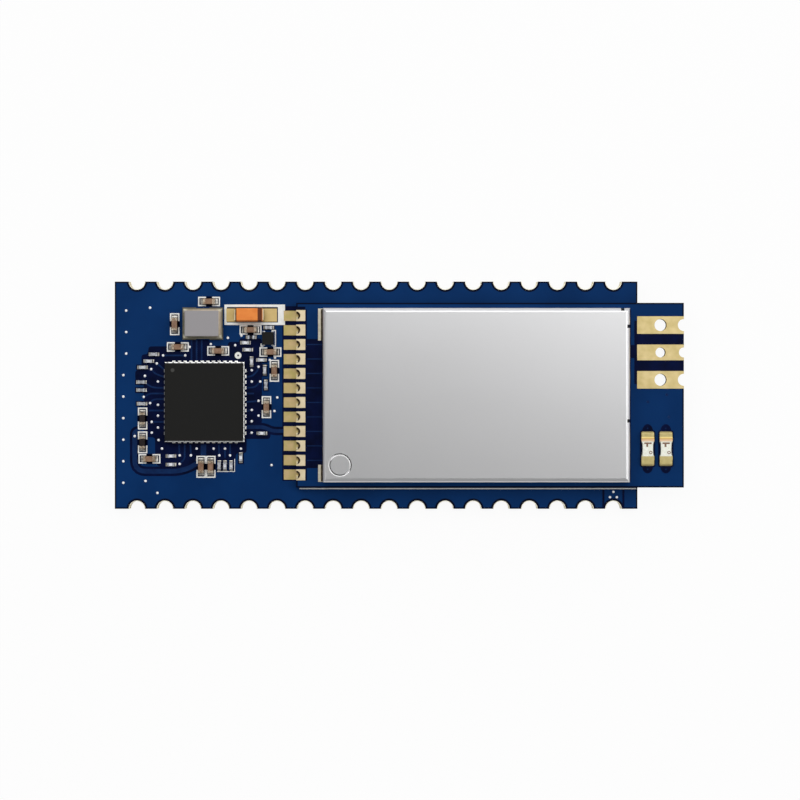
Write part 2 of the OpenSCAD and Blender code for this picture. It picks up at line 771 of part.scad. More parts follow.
// Ground lands under the can, open at the left side and at the antenna track
module shield_ground_lands() {
    upper_l = can_w / 2 - ant_y - track_gap / 2;
    lower_l = can_w / 2 + ant_y - track_gap / 2;
    color(tin) translate([0, 0, rf_top]) {
        for (y = [-can_w / 2, can_w / 2 - ground_w]) translate([can_x0, y, 0])
            cube([can_l, ground_w, land_t]);
        translate([can_x1 - ground_w, can_w / 2 - upper_l, 0]) cube([ground_w, upper_l, land_t]);
        translate([can_x1 - ground_w, -can_w / 2, 0]) cube([ground_w, lower_l, land_t]);
        translate([can_x0 - tab_out, can_w / 2 - tab_upper_l, 0])
            cube([tab_out + ground_w, tab_upper_l, land_t]);
        translate([can_x0 - tab_out, -can_w / 2, 0])
            cube([tab_out + ground_w, tab_lower_l, land_t]);
    }
}

// Shield can folded from one sheet: rounded folds, slit corners, gaps under
// the walls for the tracks and a ring stamped into the top
module fold_section(w, h, r) {
    translate([-w / 2, 0]) square([w, h - r]);
    translate([-w / 2 + r, 0]) square([w - 2 * r, h]);
    for (s = [-1, 1]) translate([s * (w / 2 - r), h - r]) circle(r);
}

module folded_block(l, w, h, r) {
    intersection() {
        translate([0, w, 0]) rotate([90, 0, 0]) linear_extrude(2 * w) fold_section(l, h, r);
        translate([-l, 0, 0]) rotate([90, 0, 90]) linear_extrude(2 * l) fold_section(w, h, r);
    }
}

// Small notches through the folds: their size, the two on the right fold measured
// from the upper wall and the middle, and the upper one from the right wall
notch_w = 0.3;
notch_d = 0.26;
notch_h = 1;
notch_high = 1.6;
notch_low = -2.25;
notch_end = 0.65;

module shield_can() {
    color([0.78, 0.78, 0.79]) translate([can_x, 0, rf_seat]) difference() {
        folded_block(can_l, can_w, can_h, bend_r);
        translate([0, 0, -cut])
            folded_block(can_l - 2 * sheet_t, can_w - 2 * sheet_t, can_h - sheet_t + cut, bend_r - sheet_t);
        for (sx = [-1, 1], sy = [-1, 1])
            translate([sx * (can_l / 2 - sheet_t - slit_w / 2), sy * (can_w - sheet_t) / 2, 0])
                block([slit_w, sheet_t + 2 * cut, can_h - bend_r + cut], -cut);
        translate([-can_l / 2 - cut, -can_w / 2 + tab_lower_l, -cut])
            cube([sheet_t + 2 * cut, can_w - tab_upper_l - tab_lower_l, wall_relief + cut]);
        translate([can_l / 2 - sheet_t / 2, ant_y, 0])
            block([sheet_t + 2 * cut, track_gap, wall_relief + cut], -cut);
        for (y = [can_w / 2 - notch_high, notch_low]) translate([can_l / 2, y, can_h])
            block([2 * notch_d, notch_w, notch_h + cut], -notch_h);
        translate([can_l / 2 - notch_end, can_w / 2, can_h])
            block([notch_w, 2 * notch_d, notch_h + cut], -notch_h);
        translate([-can_l / 2 + ring_inset, -can_w / 2 + ring_inset, can_h])
            rotate_extrude() translate([ring_r, 0]) circle(ring_tip);
    }
}

// Light emitting diodes: a plate with gilded ends and a clear cast body
led_size = [led_l, led_w, led_base_h];
led_land_r = 0.13;

module rounded_square(l, w, r) {
    square([l - 2 * r, w], center = true);
    square([l, w - 2 * r], center = true);
    for (sx = [-1, 1], sy = [-1, 1]) translate([sx * (l / 2 - r), sy * (w / 2 - r)]) circle(r);
}

module led_lands() {
    land_l = led_end + led_toe;
    color(gold) put(led_spots) for (s = [-1, 1])
        translate([s * (led_l + 2 * led_toe - land_l) / 2, 0, rf_top])
            linear_extrude(land_t) rounded_square(land_l, led_w, led_land_r);
}

// Outline of a diode between its ends, drawn in at the waist
module led_middle() {
    half_l = led_l / 2 - led_end;
    half_w = led_w / 2 - end_skin;
    side = [for (x = [-1:0.125:1]) [x * half_l, half_w - led_waist * (1 - x * x)]];
    polygon(concat(side, [for (p = side) [-p[0], -p[1]]]));
}

module led_bases() {
    color(white_ceramic) put(led_spots) {
        difference() {
            chip_core(led_size, rf_seat);
            block([led_l - 2 * led_end, led_w, led_base_h], rf_seat);
        }
        translate([0, 0, rf_seat + end_skin]) linear_extrude(led_base_h - 2 * end_skin) led_middle();
    }
}

module led_ends() {
    color(gold) put(led_spots) chip_ends(led_size, led_end, rf_seat);
}

module led_lenses() {
    color([0.96, 0.95, 0.90]) put(led_spots)
        translate([0, 0, rf_seat + led_base_h - end_skin]) linear_extrude(led_lens_h) intersection() {
            led_middle();
            square([led_l - 2 * led_end - 2 * end_skin, led_w], center = true);
        }
}

// Radio chips under the can
filter_size = [filter_l, filter_w, filter_h];
balun_size = [balun_l, balun_w, filter_h];
filter_end = 0.3;
transceiver_pad_gap = 0.4;
transceiver_heat_pad = transceiver_size - 2 * (lead_l + transceiver_pad_gap);
oscillator_h = 0.6;
radio_lid_margin = 0.15;

// The small square chips: place and size
radio_chips = concat(
    [[transmit_amp_spot, transmit_amp_size], [receive_amp_spot, receive_amp_size]],
    [for (s = switch_spots) [s, switch_size]]
);
radio_pad_gap = 0.15;
function radio_heat_pad(size) = size - 2 * (lead_l + radio_pad_gap);

module radio_lands() {
    color(gold) {
        put([transceiver_spot]) leadless_lands(
            transceiver_size, transceiver_pitch, transceiver_pins, transceiver_heat_pad, 0, rf_top);
        for (c = radio_chips) put([c[0]])
            leadless_lands(c[1], radio_pin_pitch, radio_pins(c[1]), radio_heat_pad(c[1]), 0, rf_top);
        put([oscillator_spot])
            corner_blocks([oscillator_l, oscillator_w], [oscillator_l / 3, oscillator_w / 3, land_t], rf_top);
        put([filter_spot]) chip_land_pair(filter_size, filter_end, res_toe, rf_top);
        put([balun_spot]) chip_land_pair(balun_size, filter_end, res_toe, rf_top);
        put(radio_capacitor_spots) chip_land_pair(cap_size, cap_end, res_toe, rf_top);
    }
}

module transceiver_leads() {
    color(tin) put([transceiver_spot])
        leadless_leads(transceiver_size, transceiver_pitch, transceiver_pins, transceiver_heat_pad, rf_seat);
}

module transceiver_body() {
    color(mould_black) put([transceiver_spot]) leadless_body(
        transceiver_size, radio_chip_h, transceiver_pitch, transceiver_pins, transceiver_heat_pad, rf_seat);
}

module oscillator_terminals() {
    color(gold) put([oscillator_spot]) ceramic_terminals(oscillator_l, oscillator_w, rf_seat);
}

module oscillator_base() {
    color(white_ceramic) put([oscillator_spot])
        ceramic_base(oscillator_l, oscillator_w, oscillator_h, rf_seat + terminal_t);
}

module oscillator_lid() {
    color([0.62, 0.61, 0.60]) put([oscillator_spot]) bevelled_plate(
        [oscillator_l - 2 * radio_lid_margin, oscillator_w - 2 * radio_lid_margin, lid_t],
        lid_bevel, rf_seat + terminal_t + oscillator_h);
}

module radio_chip(spot, size) {
    color(mould_black) put([spot]) leadless_body(
        size, radio_chip_h, radio_pin_pitch, radio_pins(size), radio_heat_pad(size), rf_seat);
}

module transmit_amplifier() {
    radio_chip(transmit_amp_spot, transmit_amp_size);
}

module receive_amplifier() {
    radio_chip(receive_amp_spot, receive_amp_size);
}

module antenna_switches() {
    for (s = switch_spots) radio_chip(s, switch_size);
}

module radio_chip_leads() {
    color(tin) for (c = radio_chips) put([c[0]])
        leadless_leads(c[1], radio_pin_pitch, radio_pins(c[1]), radio_heat_pad(c[1]), rf_seat);
}

module band_filter() {
    color(white_ceramic) put([filter_spot]) chip_core(filter_size, rf_seat);
}

module balun() {
    color(white_ceramic) put([balun_spot]) chip_core(balun_size, rf_seat);
}

module filter_ends() {
    color(tin) {
        put([filter_spot]) chip_ends(filter_size, filter_end, rf_seat);
        put([balun_spot]) chip_ends(balun_size, filter_end, rf_seat);
    }
}

module radio_capacitor_bodies() {
    color(ceramic_brown) put(radio_capacitor_spots) chip_core(cap_size, rf_seat);
}

module radio_capacitor_ends() {
    color(tin) put(radio_capacitor_spots) chip_ends(cap_size, cap_end, rf_seat);
}

carrier_board();
carrier_edge_contacts();
carrier_vias();
landing_lands();
mcu_lands();
mcu_leads();
mcu_body();
mcu_solder_fillets();
crystal_lands();
crystal_terminals();
crystal_base();
crystal_seal_ring();
crystal_lid();
tantalum_lands();
tantalum_leads();
tantalum_body();
regulator_lands();
regulator_leads();
regulator_body();
chip_lands();
capacitor_bodies();
capacitor_ends();
ferrite_bodies();
ferrite_ends();
resistor_bodies();
resistor_ends();
chip_solder_fillets();
rf_board();
rf_edge_contacts();
module_solder_fillets();
antenna_ground_contacts();
antenna_signal_contact();
shield_ground_lands();
shield_can();
led_lands();
led_bases();
led_ends();
led_lenses();
radio_lands();
transceiver_leads();
transceiver_body();
oscillator_terminals();
oscillator_base();
oscillator_lid();
transmit_amplifier();
receive_amplifier();
antenna_switches();
radio_chip_leads();
band_filter();
balun();
filter_ends();
radio_capacitor_bodies();
radio_capacitor_ends();
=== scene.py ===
import math

import bmesh
import bpy
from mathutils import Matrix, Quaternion, Vector
from mathutils.geometry import intersect_point_line


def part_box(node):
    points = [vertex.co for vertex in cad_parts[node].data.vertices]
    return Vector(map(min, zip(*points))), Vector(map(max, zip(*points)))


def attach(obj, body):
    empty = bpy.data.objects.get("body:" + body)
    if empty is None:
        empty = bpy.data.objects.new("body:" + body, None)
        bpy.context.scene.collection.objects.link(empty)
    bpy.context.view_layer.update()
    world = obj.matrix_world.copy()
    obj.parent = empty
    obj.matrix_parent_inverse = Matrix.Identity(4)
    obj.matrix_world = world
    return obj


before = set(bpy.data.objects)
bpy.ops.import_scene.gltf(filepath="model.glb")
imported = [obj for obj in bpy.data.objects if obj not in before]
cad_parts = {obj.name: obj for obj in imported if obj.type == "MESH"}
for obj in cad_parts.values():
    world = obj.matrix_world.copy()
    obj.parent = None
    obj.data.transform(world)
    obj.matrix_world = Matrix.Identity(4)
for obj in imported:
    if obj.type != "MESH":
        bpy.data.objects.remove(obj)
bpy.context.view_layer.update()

# Carrier board: a plate of glass and epoxy laminate under a blue solder mask, cut from a panel.
# The copper under the mask stops short of the cut edges and half holes, so a dark line follows
# them, and the bare laminate shows its layers on the sawn sides.
MM = 0.001
SAME_SPOT = 0.001
MASK_BLUE = (6, 50, 104)
MASK_NAVY = (0, 7, 32)
MASK_TINTS = ((3, 43, 91), (6, 50, 102))
LAMINATE = (116, 120, 112)
LAMINATE_DARK = (80, 84, 79)
LAYER_T = 0.18
COPPER_MARGIN = 0.13
COPPER_FADE = 0.02
CONTACT_R = 0.78


def linear(rgb):
    """A colour written in steps of 0 to 255, as a shader socket takes it."""
    shares = [c / 255 for c in rgb]
    return [s / 12.92 if s <= 0.04045 else ((s + 0.055) / 1.055) ** 2.4 for s in shares] + [1.0]


def add_node(tree, kind, inputs=None, **options):
    """A new shader node with its options set and its sockets filled or linked."""
    made = tree.nodes.new("ShaderNode" + kind)
    for name, value in options.items():
        setattr(made, name, value)
    for key, value in (inputs or {}).items():
        if isinstance(value, bpy.types.NodeSocket):
            tree.links.new(value, made.inputs[key])
        else:
            made.inputs[key].default_value = value
    return made


class Finish:
    """A material with one shader, and the nodes that its pattern is drawn with. Sizes are in mm."""

    def __init__(self, name, color, roughness, metallic=0.0, specular=0.5):
        self.material = bpy.data.materials.new(name)
        self.material.use_nodes = True
        self.tree = self.material.node_tree
        self.shader = self.tree.nodes["Principled BSDF"]
        self.shader.inputs["Base Color"].default_value = linear(color)
        self.shader.inputs["Roughness"].default_value = roughness
        self.shader.inputs["Metallic"].default_value = metallic
        self.shader.inputs["Specular IOR Level"].default_value = specular

    def node(self, kind, inputs=None, **options):
        return add_node(self.tree, kind, inputs, **options)

    def calc(self, operation, first, second=0.0):
        return self.node("Math", {0: first, 1: second}, operation=operation).outputs[0]

    def place(self):
        """Object coordinates in mm, as three sockets."""
        scaled = self.node("VectorMath", {0: self.node("TexCoord").outputs["Object"]}, operation="SCALE")
        scaled.inputs["Scale"].default_value = 1 / MM
        return self.node("SeparateXYZ", {0: scaled.outputs[0]}).outputs

    def facing(self):
        """The way that a face looks, as three sockets."""
        return self.node("SeparateXYZ", {0: self.node("NewGeometry").outputs["True Normal"]}).outputs

    def lies_flat(self, low=0.3, high=0.7):
        """1 on faces that look up or down, and 0 on walls."""
        return self.between(self.calc("ABSOLUTE", self.facing()[2]), low, high)

    def rims(self, low, high):
        """Distances in mm from the left, right, near and far sides of a box."""
        x, y, _ = self.place()
        sides = ((x, low.x), (high.x, x), (y, low.y), (high.y, y))
        return [self.calc("SUBTRACT", *pair) for pair in sides]

    def least(self, values):
        found = values[0]
        for value in values[1:]:
            found = self.calc("MINIMUM", found, value)
        return found

    def slant(self, *sides):
        """Length of the slant over two sides."""
        squares = [self.calc("MULTIPLY", side, side) for side in sides]
        return self.calc("SQRT", self.calc("ADD", *squares))

    def away_from(self, spot):
        """Distance in mm from a spot, as seen from above."""
        return self.slant(*[self.calc("SUBTRACT", side, at) for side, at in zip(self.place(), spot)])

    def cloud(self, size, stretch=(1, 1, 1), detail=3.0):
        """Soft random pattern with spots of about that size."""
        scale = [s / (size * MM) for s in stretch]
        spread = self.node("Mapping", {"Vector": self.node("TexCoord").outputs["Object"], "Scale": scale})
        noise = self.node("TexNoise", {"Vector": spread.outputs[0], "Scale": 1.0, "Detail": detail})
        return noise.outputs[0]

    def between(self, value, start, end, low=0.0, high=1.0):
        """Runs from the low result to the high one as the value goes from start to end."""
        spans = {"From Min": start, "From Max": end, "To Min": low, "To Max": high}
        return self.node("MapRange", {"Value": value, **spans}).outputs[0]

    def within(self, value, rise, fall):
        """1 from the end of the rise to the start of the fall, and 0 outside them."""
        return self.calc("MULTIPLY", self.between(value, *rise), self.between(value, *fall, 1.0, 0.0))

    def colors(self, share, first, second):
        """Runs from the first colour to the second as the share goes from 0 to 1."""
        pair = [c if isinstance(c, bpy.types.NodeSocket) else linear(c) for c in (first, second)]
        return self.node("Mix", {0: share, 6: pair[0], 7: pair[1]}, data_type="RGBA").outputs[2]

    def mottled(self, size, first, second, spread=0.2):
        """Wanders between two colours over spots of about that size."""
        return self.colors(self.between(self.cloud(size), 0.5 - spread, 0.5 + spread), first, second)

    def paint(self, socket, value):
        self.tree.links.new(value, self.shader.inputs[socket])

    def relief(self, height, depth, strength=1.0):
        bump = self.node("Bump", {"Height": height, "Distance": depth * MM, "Strength": strength})
        self.paint("Normal", bump.outputs[0])

    def vary(self, size, low, high, stretch=(1, 1, 1)):
        """Lets the roughness wander between two values."""
        self.paint("Roughness", self.between(self.cloud(size, stretch), 0.3, 0.7, low, high))


def dress(finish, *names):
    for name in names:
        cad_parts[name].material_slots[0].material = finish.material


def extent(name):
    """Low and high corners of a node, in mm."""
    return [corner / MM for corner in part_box(name)]


def solids(name):
    """Low and high corners, in mm, of the separate solids that a node holds."""
    bm = bmesh.new()
    bm.from_mesh(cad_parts[name].data)
    bmesh.ops.remove_doubles(bm, verts=bm.verts, dist=SAME_SPOT * MM)
    waiting = set(bm.verts)
    found = []
    while waiting:
        front = [waiting.pop()]
        corners = []
        while front:
            vert = front.pop()
            corners.append(vert.co / MM)
            near = {e.other_vert(vert) for e in vert.link_edges} & waiting
            waiting -= near
            front.extend(near)
        found.append(tuple(Vector(map(pick, zip(*corners))) for pick in (min, max)))
    bm.free()
    return sorted(found, key=lambda box: tuple(box[0]))


def mask_finish(name, board, holes=None):
    """Solder mask over copper, dark along the board's outline and round its half holes."""
    finish = Finish(name, MASK_BLUE, roughness=0.45, specular=0.05)
    x, _, z = finish.place()
    rims = finish.rims(*extent(board))
    if holes:
        first, pitch, count, radius = holes
        run = finish.calc("SUBTRACT", x, first)
        turn = finish.calc("ROUND", finish.calc("DIVIDE", run, pitch))
        turn = finish.calc("MAXIMUM", finish.calc("MINIMUM", turn, count - 1.0), 0.0)
        along = finish.calc("SUBTRACT", run, finish.calc("MULTIPLY", turn, pitch))
        across = finish.calc("MINIMUM", rims[2], rims[3])
        rims.append(finish.calc("SUBTRACT", finish.slant(along, across), radius))
    copper = finish.between(finish.least(rims), COPPER_MARGIN - COPPER_FADE, COPPER_MARGIN + COPPER_FADE)
    mask = finish.colors(copper, MASK_NAVY, finish.mottled(6.0, *MASK_TINTS, spread=0.15))
    layers = finish.between(finish.calc("PINGPONG", z, LAYER_T / 2), 0.0, LAYER_T / 2)
    fibres = finish.calc("MULTIPLY", layers, finish.cloud(0.25, stretch=(0.3, 0.3, 1.0)))
    sawn = finish.colors(fibres, LAMINATE_DARK, LAMINATE)
    finish.paint("Base Color", finish.colors(finish.lies_flat(0.4, 0.6), sawn, mask))
    finish.relief(finish.cloud(0.35), depth=0.004, strength=0.5)
    return finish


contacts = solids("carrier_edge_contacts")
contact_x = sorted({round((low.x + high.x) / 2, 3) for low, high in contacts})
contact_pitch = (contact_x[-1] - contact_x[0]) / (len(contact_x) - 1)
half_holes = (contact_x[0], contact_pitch, len(contact_x), CONTACT_R)
dress(mask_finish("carrier_mask", "carrier_board", half_holes), "carrier_board")

# Etched copper on the carrier: where the copper is etched away the mask looks almost black, and
# single tracks cross those fields from the processor to the vias and chips. Everything lies under
# the mask, so the tracks are low blue ridges.
FIELD_T = 0.004
FIELD_STEP = 0.001
FIELD_CORNER = 0.3
TRACK_T = 0.014
TRACK_W = 0.15
WIDE_TRACK_W = 0.5
TRACK_BEND = 0.4
LOOP_BEND = 1.0
LOOP_W, LOOP_FIELD_W = 0.42, 0.84
SIDE_W, SIDE_FIELD_W = 0.33, 0.75
VIA_NEAR = 2.5


def middle(name):
    low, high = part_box(name)
    return (low + high) / 2 / MM


def piece(name, bm, finish):
    """Turns a mesh drawn in mm into a piece of the object."""
    bmesh.ops.recalc_face_normals(bm, faces=bm.faces)
    bmesh.ops.scale(bm, vec=(MM, MM, MM), verts=bm.verts)
    mesh = bpy.data.meshes.new(name)
    bm.to_mesh(mesh)
    bm.free()
    made = bpy.data.objects.new(name, mesh)
    bpy.context.scene.collection.objects.link(made)
    mesh.materials.append(finish.material)
    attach(made, "root")


def round_outline(centre, half_x, half_y, steps=16):
    turns = [math.tau * i / steps for i in range(steps)]
    return [Vector((centre[0] + half_x * math.cos(a), centre[1] + half_y * math.sin(a))) for a in turns]


def box_outline(low, high):
    corners = ((low[0], low[1]), (high[0], low[1]), (high[0], high[1]), (low[0], high[1]))
    return [Vector(corner) for corner in corners]


def curved(points, radius, closed=False, steps=5):
    """The same line or outline with its corners rounded."""
    path = [Vector(p) for p in points]
    line = path[-1:] + path + path[:1] if closed else path
    shares = [i / steps for i in range(steps + 1)]
    made = []
    for before, corner, after in zip(line, line[1:], line[2:]):
        reach = min(radius, (before - corner).length / 2, (after - corner).length / 2)
        start = corner + (before - corner).normalized() * reach
        end = corner + (after - corner).normalized() * reach
        made += [start.lerp(corner, s).lerp(corner.lerp(end, s), s) for s in shares]
    made = made if closed else [path[0], *made, path[-1]]
    return [p for before, p in zip(made[-1:] + made[:-1], made) if (p - before).length > SAME_SPOT]


def strip(points, width, sharpest=0.5):
    """Outline of a strip that follows a line of points."""
    path = [Vector(p) for p in points]
    ways = [(b - a).normalized() for a, b in zip(path, path[1:])]
    left, right = [], []
    for i, point in enumerate(path):
        before, after = ways[max(i - 1, 0)], ways[min(i, len(ways) - 1)]
        across = (before + after).normalized().orthogonal()
        across *= width / 2 / max(across.dot(before.orthogonal()), sharpest)
        left.append(point + across)
        right.append(point - across)
    return left + right[::-1]


def goes_round(outline, spot, reach):
    """Whether an outline goes round a spot and keeps that far from it."""
    inside = False
    for a, b in zip(outline, outline[1:] + outline[:1]):
        share = intersect_point_line(spot, a, b)[1]
        if (a.lerp(b, min(max(share, 0.0), 1.0)) - spot).length < reach:
            return False
        crosses = (a.y > spot.y) != (b.y > spot.y)
        if crosses and spot.x < a.x + (b.x - a.x) * (spot.y - a.y) / (b.y - a.y):
            inside = not inside
    return inside


def draw_out(bm, faces, shift):
    """Makes faces solid by drawing them out along a way."""
    made = bmesh.ops.extrude_face_region(bm, geom=faces, use_keep_orig=True)["geom"]
    bmesh.ops.translate(bm, vec=shift, verts=[g for g in made if isinstance(g, bmesh.types.BMVert)])


def sheet(bm, outline, z, t, holes=()):
    """Thin plate with that outline, pierced at each hole that lies inside it."""
    loops = [outline] + [round_outline(spot, r, r) for spot, r in holes if goes_round(outline, spot, r)]
    edges = []
    for loop in loops:
        verts = [bm.verts.new((x, y, z)) for x, y in loop]
        edges += [bm.edges.new((verts[i - 1], verts[i])) for i in range(len(verts))]
    filled = bmesh.ops.triangle_fill(bm, use_beauty=True, edges=edges, normal=(0, 0, 1))["geom"]
    draw_out(bm, [g for g in filled if isinstance(g, bmesh.types.BMFace)], (0, 0, t))


board_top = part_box("carrier_board")[1].z / MM
mcu = middle("mcu_body")
vias = [(((low + high) / 2).to_2d(), (high.x - low.x) / 2) for low, high in solids("carrier_vias")]


def from_mcu(*points):
    """Places given from the processor's centre."""
    return [(mcu.x + x, mcu.y + y) for x, y in points]


def turned(points, centre, upright=False):
    """Places given from a chip's centre, laid along Y where the chip stands upright."""
    return [(centre.x - y, centre.y + x) if upright else (centre.x + x, centre.y + y) for x, y in points]


def short_of_vias(points):
    """The same line, ending at the rim of a via that stands at its end."""
    path = [Vector(p) for p in points]
    for end, before in ((0, 1), (-1, -2)):
        spot, r = min(vias, key=lambda via: (via[0] - path[end]).length)
        if (spot - path[end]).length < VIA_NEAR * r:
            path[end] = spot + (path[before] - spot).normalized() * r
    return path


def chip_spots(*names):
    """Centre of each chip in some nodes, and whether it stands upright."""
    boxes = [box for name in names for box in solids(name)]
    return [((low + high) / 2, high.y - low.y > high.x - low.x) for low, high in boxes]


navy = Finish("mask_on_laminate", MASK_NAVY, roughness=0.4, specular=0.05)
navy.paint("Base Color", navy.mottled(1.2, (0, 6, 36), (1, 14, 56)))
navy.vary(0.6, 0.35, 0.5)

around_mcu = from_mcu(
    (-4.0, -5.7), (-0.7, -5.7), (-0.7, -4.8), (0.75, -4.8), (0.75, -5.1), (2.7, -5.1), (2.7, -4.5),
    (3.65, -4.5), (3.65, -1.95), (5.0, -1.95), (5.0, 5.6), (3.05, 5.6), (3.05, 5.3), (2.0, 5.3), (2.0, 4.6),
    (0.4, 4.6), (0.4, 5.5), (-1.4, 5.5), (-1.4, 4.9), (-5.0, 4.9), (-5.0, 4.2), (-5.6, 4.2), (-5.6, 2.8),
    (-6.15, 2.8), (-6.15, 1.9), (-5.4, 1.9), (-5.4, -3.1), (-4.4, -3.1), (-4.4, -5.4)
)
side_field = box_outline(*from_mcu((3.4, -3.25), (5.75, -2.4)))
loop_points = from_mcu(
    (-5.6, -2.55), (-6.2, -2.55), (-6.2, -6.1), (-2.4, -6.1), (-1.35, -5.8), (-0.5, -5.25)
)
main_loop = curved(loop_points, LOOP_BEND)
side_track = curved(from_mcu((3.7, -2.2), (5.2, -2.2), (5.9, -2.55), (6.95, -2.55)), TRACK_BEND)
LANDING_LEFT, LANDING_NEAR, LANDING_FAR = 0.13, 0.1, 0.4
land_low, land_high = extent("landing_lands")
landing_low = (land_low.x - LANDING_LEFT, land_low.y - LANDING_NEAR)
landing_field = box_outline(landing_low, (land_high.x, land_high.y + LANDING_FAR))
LAST_GAP_X, LAST_GAP_W = 0.88, 0.18
LAST_GAP_Y = (-9.95, -8.0)
last_gaps = [[(contact_x[-1] + side * LAST_GAP_X, y) for y in LAST_GAP_Y] for side in (-1, 1)]
WINDOW = ((-2.18, -0.65), (2.31, 0.71))
tantalum = middle("tantalum_lands")
fields = [
    curved(around_mcu, FIELD_CORNER, closed=True),
    curved(side_field, FIELD_CORNER, closed=True),
    landing_field,
    box_outline(*turned(WINDOW, tantalum)),
    strip(main_loop, LOOP_FIELD_W),
    strip(side_track, SIDE_FIELD_W),
    *[strip(points, LAST_GAP_W) for points in last_gaps]
]
clearance = bmesh.new()
for i, outline in enumerate(fields):
    sheet(clearance, outline, board_top, FIELD_T + i * FIELD_STEP, vias)
CHIP_FRAME = (0.91, 0.36)
CHIP_FRAME_GAP = 0.27
GAP_FIELD = (0.25, 0.46)
RESISTOR_FIELD = (0.56, 0.25)
framed = chip_spots("capacitor_bodies", "ferrite_bodies")
chip_fields = [(spot, half) for spot in framed for half in (CHIP_FRAME, GAP_FIELD)]
chip_fields += [(spot, RESISTOR_FIELD) for spot in chip_spots("resistor_bodies")]
chip_field_t = FIELD_T + len(fields) * FIELD_STEP
for (centre, upright), (along, across) in chip_fields:
    corners = box_outline((-along, -across), (along, across))
    sheet(clearance, turned(corners, centre, upright), board_top, chip_field_t)
piece("carrier_clearance", clearance, navy)

ridge = Finish("mask_on_tracks", MASK_BLUE, roughness=0.4, specular=0.08)
ridge.paint("Base Color", ridge.mottled(0.8, (6, 31, 73), (12, 43, 89)))
tracks = bmesh.new()
sheet(tracks, strip(main_loop, LOOP_W), board_top, TRACK_T, vias)
sheet(tracks, strip(side_track, SIDE_W), board_top, TRACK_T, vias)
fan_out = [
    [(-4.25, 3.4), (-3.6, 2.85)], [(-4.75, 2.8), (-4.4, 2.5), (-3.6, 2.2)],
    [(-5.2, 1.65), (-4.8, 1.35), (-4.35, 1.25), (-3.6, 1.25)], [(-5.2, 0.55), (-4.85, 0.75), (-3.6, 0.75)],
    [(-4.95, -0.2), (-4.65, 0.15), (-4.35, 0.25), (-3.6, 0.25)], [(-4.95, -0.75), (-3.6, -0.75)],
    [(-4.75, -1.75), (-3.6, -1.75)], [(-3.7, 4.1), (-2.05, 4.1)],
    [(-2.3, -3.75), (-2.3, -4.65)], [(-1.8, -3.75), (-1.8, -5.0), (-2.2, -5.45)],
    [(-1.3, -3.75), (-1.3, -4.65)], [(1.2, -3.75), (1.2, -4.65)],
    [(1.75, -4.1), (1.75, -4.9)], [(2.2, -3.75), (2.2, -4.65)],
    [(-1.2, 3.65), (-1.2, 5.45)], [(-0.75, 3.65), (-0.75, 5.45)], [(-0.3, 3.65), (-0.3, 5.45)],
    [(3.65, 2.2), (4.2, 2.3), (4.6, 2.75), (4.65, 3.05)], [(3.65, 1.25), (4.4, 1.3), (4.85, 1.75)],
    [(3.65, 0.75), (4.3, 0.75)], [(3.65, 0.0), (4.65, 0.1)], [(3.65, -0.8), (4.15, -0.75)]
]
for points in fan_out:
    sheet(tracks, strip(curved(short_of_vias(from_mcu(*points)), TRACK_BEND), TRACK_W), board_top, TRACK_T)
sheet(tracks, strip(from_mcu((-0.15, -3.75), (-0.15, -4.75)), WIDE_TRACK_W), board_top, TRACK_T)
piece("carrier_tracks", tracks, ridge)

# Marking on the carrier: white ink, screen-printed on the mask in thin lines round the chips,
# with a solid frame for the tantalum capacitor and a dot with a hole for the processor's corner.
INK_T = 0.02
CHIP_INK_W = 0.11
REGULATOR_INK_W = 0.09
RESISTOR_INK_W = 0.05
BOARD_INK_W = 0.1
BOARD_INK_START, BOARD_INK_END, BOARD_INK_GAP = 0.25, 0.1, 0.12
DOT, DOT_HOLE_R, DOT_R = (2.9, 4.1), 0.08, 0.3


def spun(bm, centre, section, steps, closed=False):
    """Round shape, spun from a section that is given as radii and heights."""
    verts = [bm.verts.new((centre[0] + r, centre[1], h)) for r, h in section]
    edges = [bm.edges.new((verts[i - 1], verts[i])) for i in range(0 if closed else 1, len(verts))]
    axis = {"cent": (*centre, 0), "axis": (0, 0, 1)}
    bmesh.ops.spin(bm, geom=verts + edges, **axis, angle=math.tau, steps=steps, use_merge=True)


def ring(bm, centre, inner, outer, z, t):
    section = [(inner, z), (outer, z), (outer, z + t), (inner, z + t)]
    spun(bm, centre, section, steps=32, closed=True)


marking = bmesh.new()
along, across = CHIP_FRAME
for centre, upright in framed:
    for x, gap in ((along, CHIP_FRAME_GAP), (-along, -CHIP_FRAME_GAP)):
        bracket = [(gap, across), (x, across), (x, -across), (gap, -across)]
        sheet(marking, strip(turned(bracket, centre, upright), CHIP_INK_W), board_top, INK_T)
frame_low, frame_high = (-2.4, -0.87), (2.93, 0.93)
window_low, window_high = WINDOW
bars = [
    (frame_low, (window_low[0], frame_high[1])),
    ((window_high[0], frame_low[1]), frame_high),
    ((window_low[0], frame_low[1]), (window_high[0], window_low[1])),
    ((window_low[0], window_high[1]), (window_high[0], frame_high[1]))
]
for bar in bars:
    sheet(marking, box_outline(*turned(bar, tantalum)), board_top, INK_T)
regulator = middle("regulator_body")
regulator_lines = [
    [(0.3, 0.7), (0.64, 0.7), (0.64, -0.68), (0.4, -0.68)],
    [(-0.62, -0.45), (-0.62, -0.68), (-0.42, -0.68)]
]
for points in regulator_lines:
    sheet(marking, strip(turned(points, regulator), REGULATOR_INK_W), board_top, INK_T)
sheet(marking, strip(from_mcu((2.6, -5.0), (2.6, -6.12), (1.05, -6.12)), RESISTOR_INK_W), board_top, INK_T)
ring(marking, from_mcu(DOT)[0], DOT_HOLE_R, DOT_R, board_top, INK_T)
rf_low, rf_high = extent("rf_board")
carrier_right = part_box("carrier_board")[1].x / MM
line_ends = (rf_low.x + BOARD_INK_START, carrier_right - BOARD_INK_END)
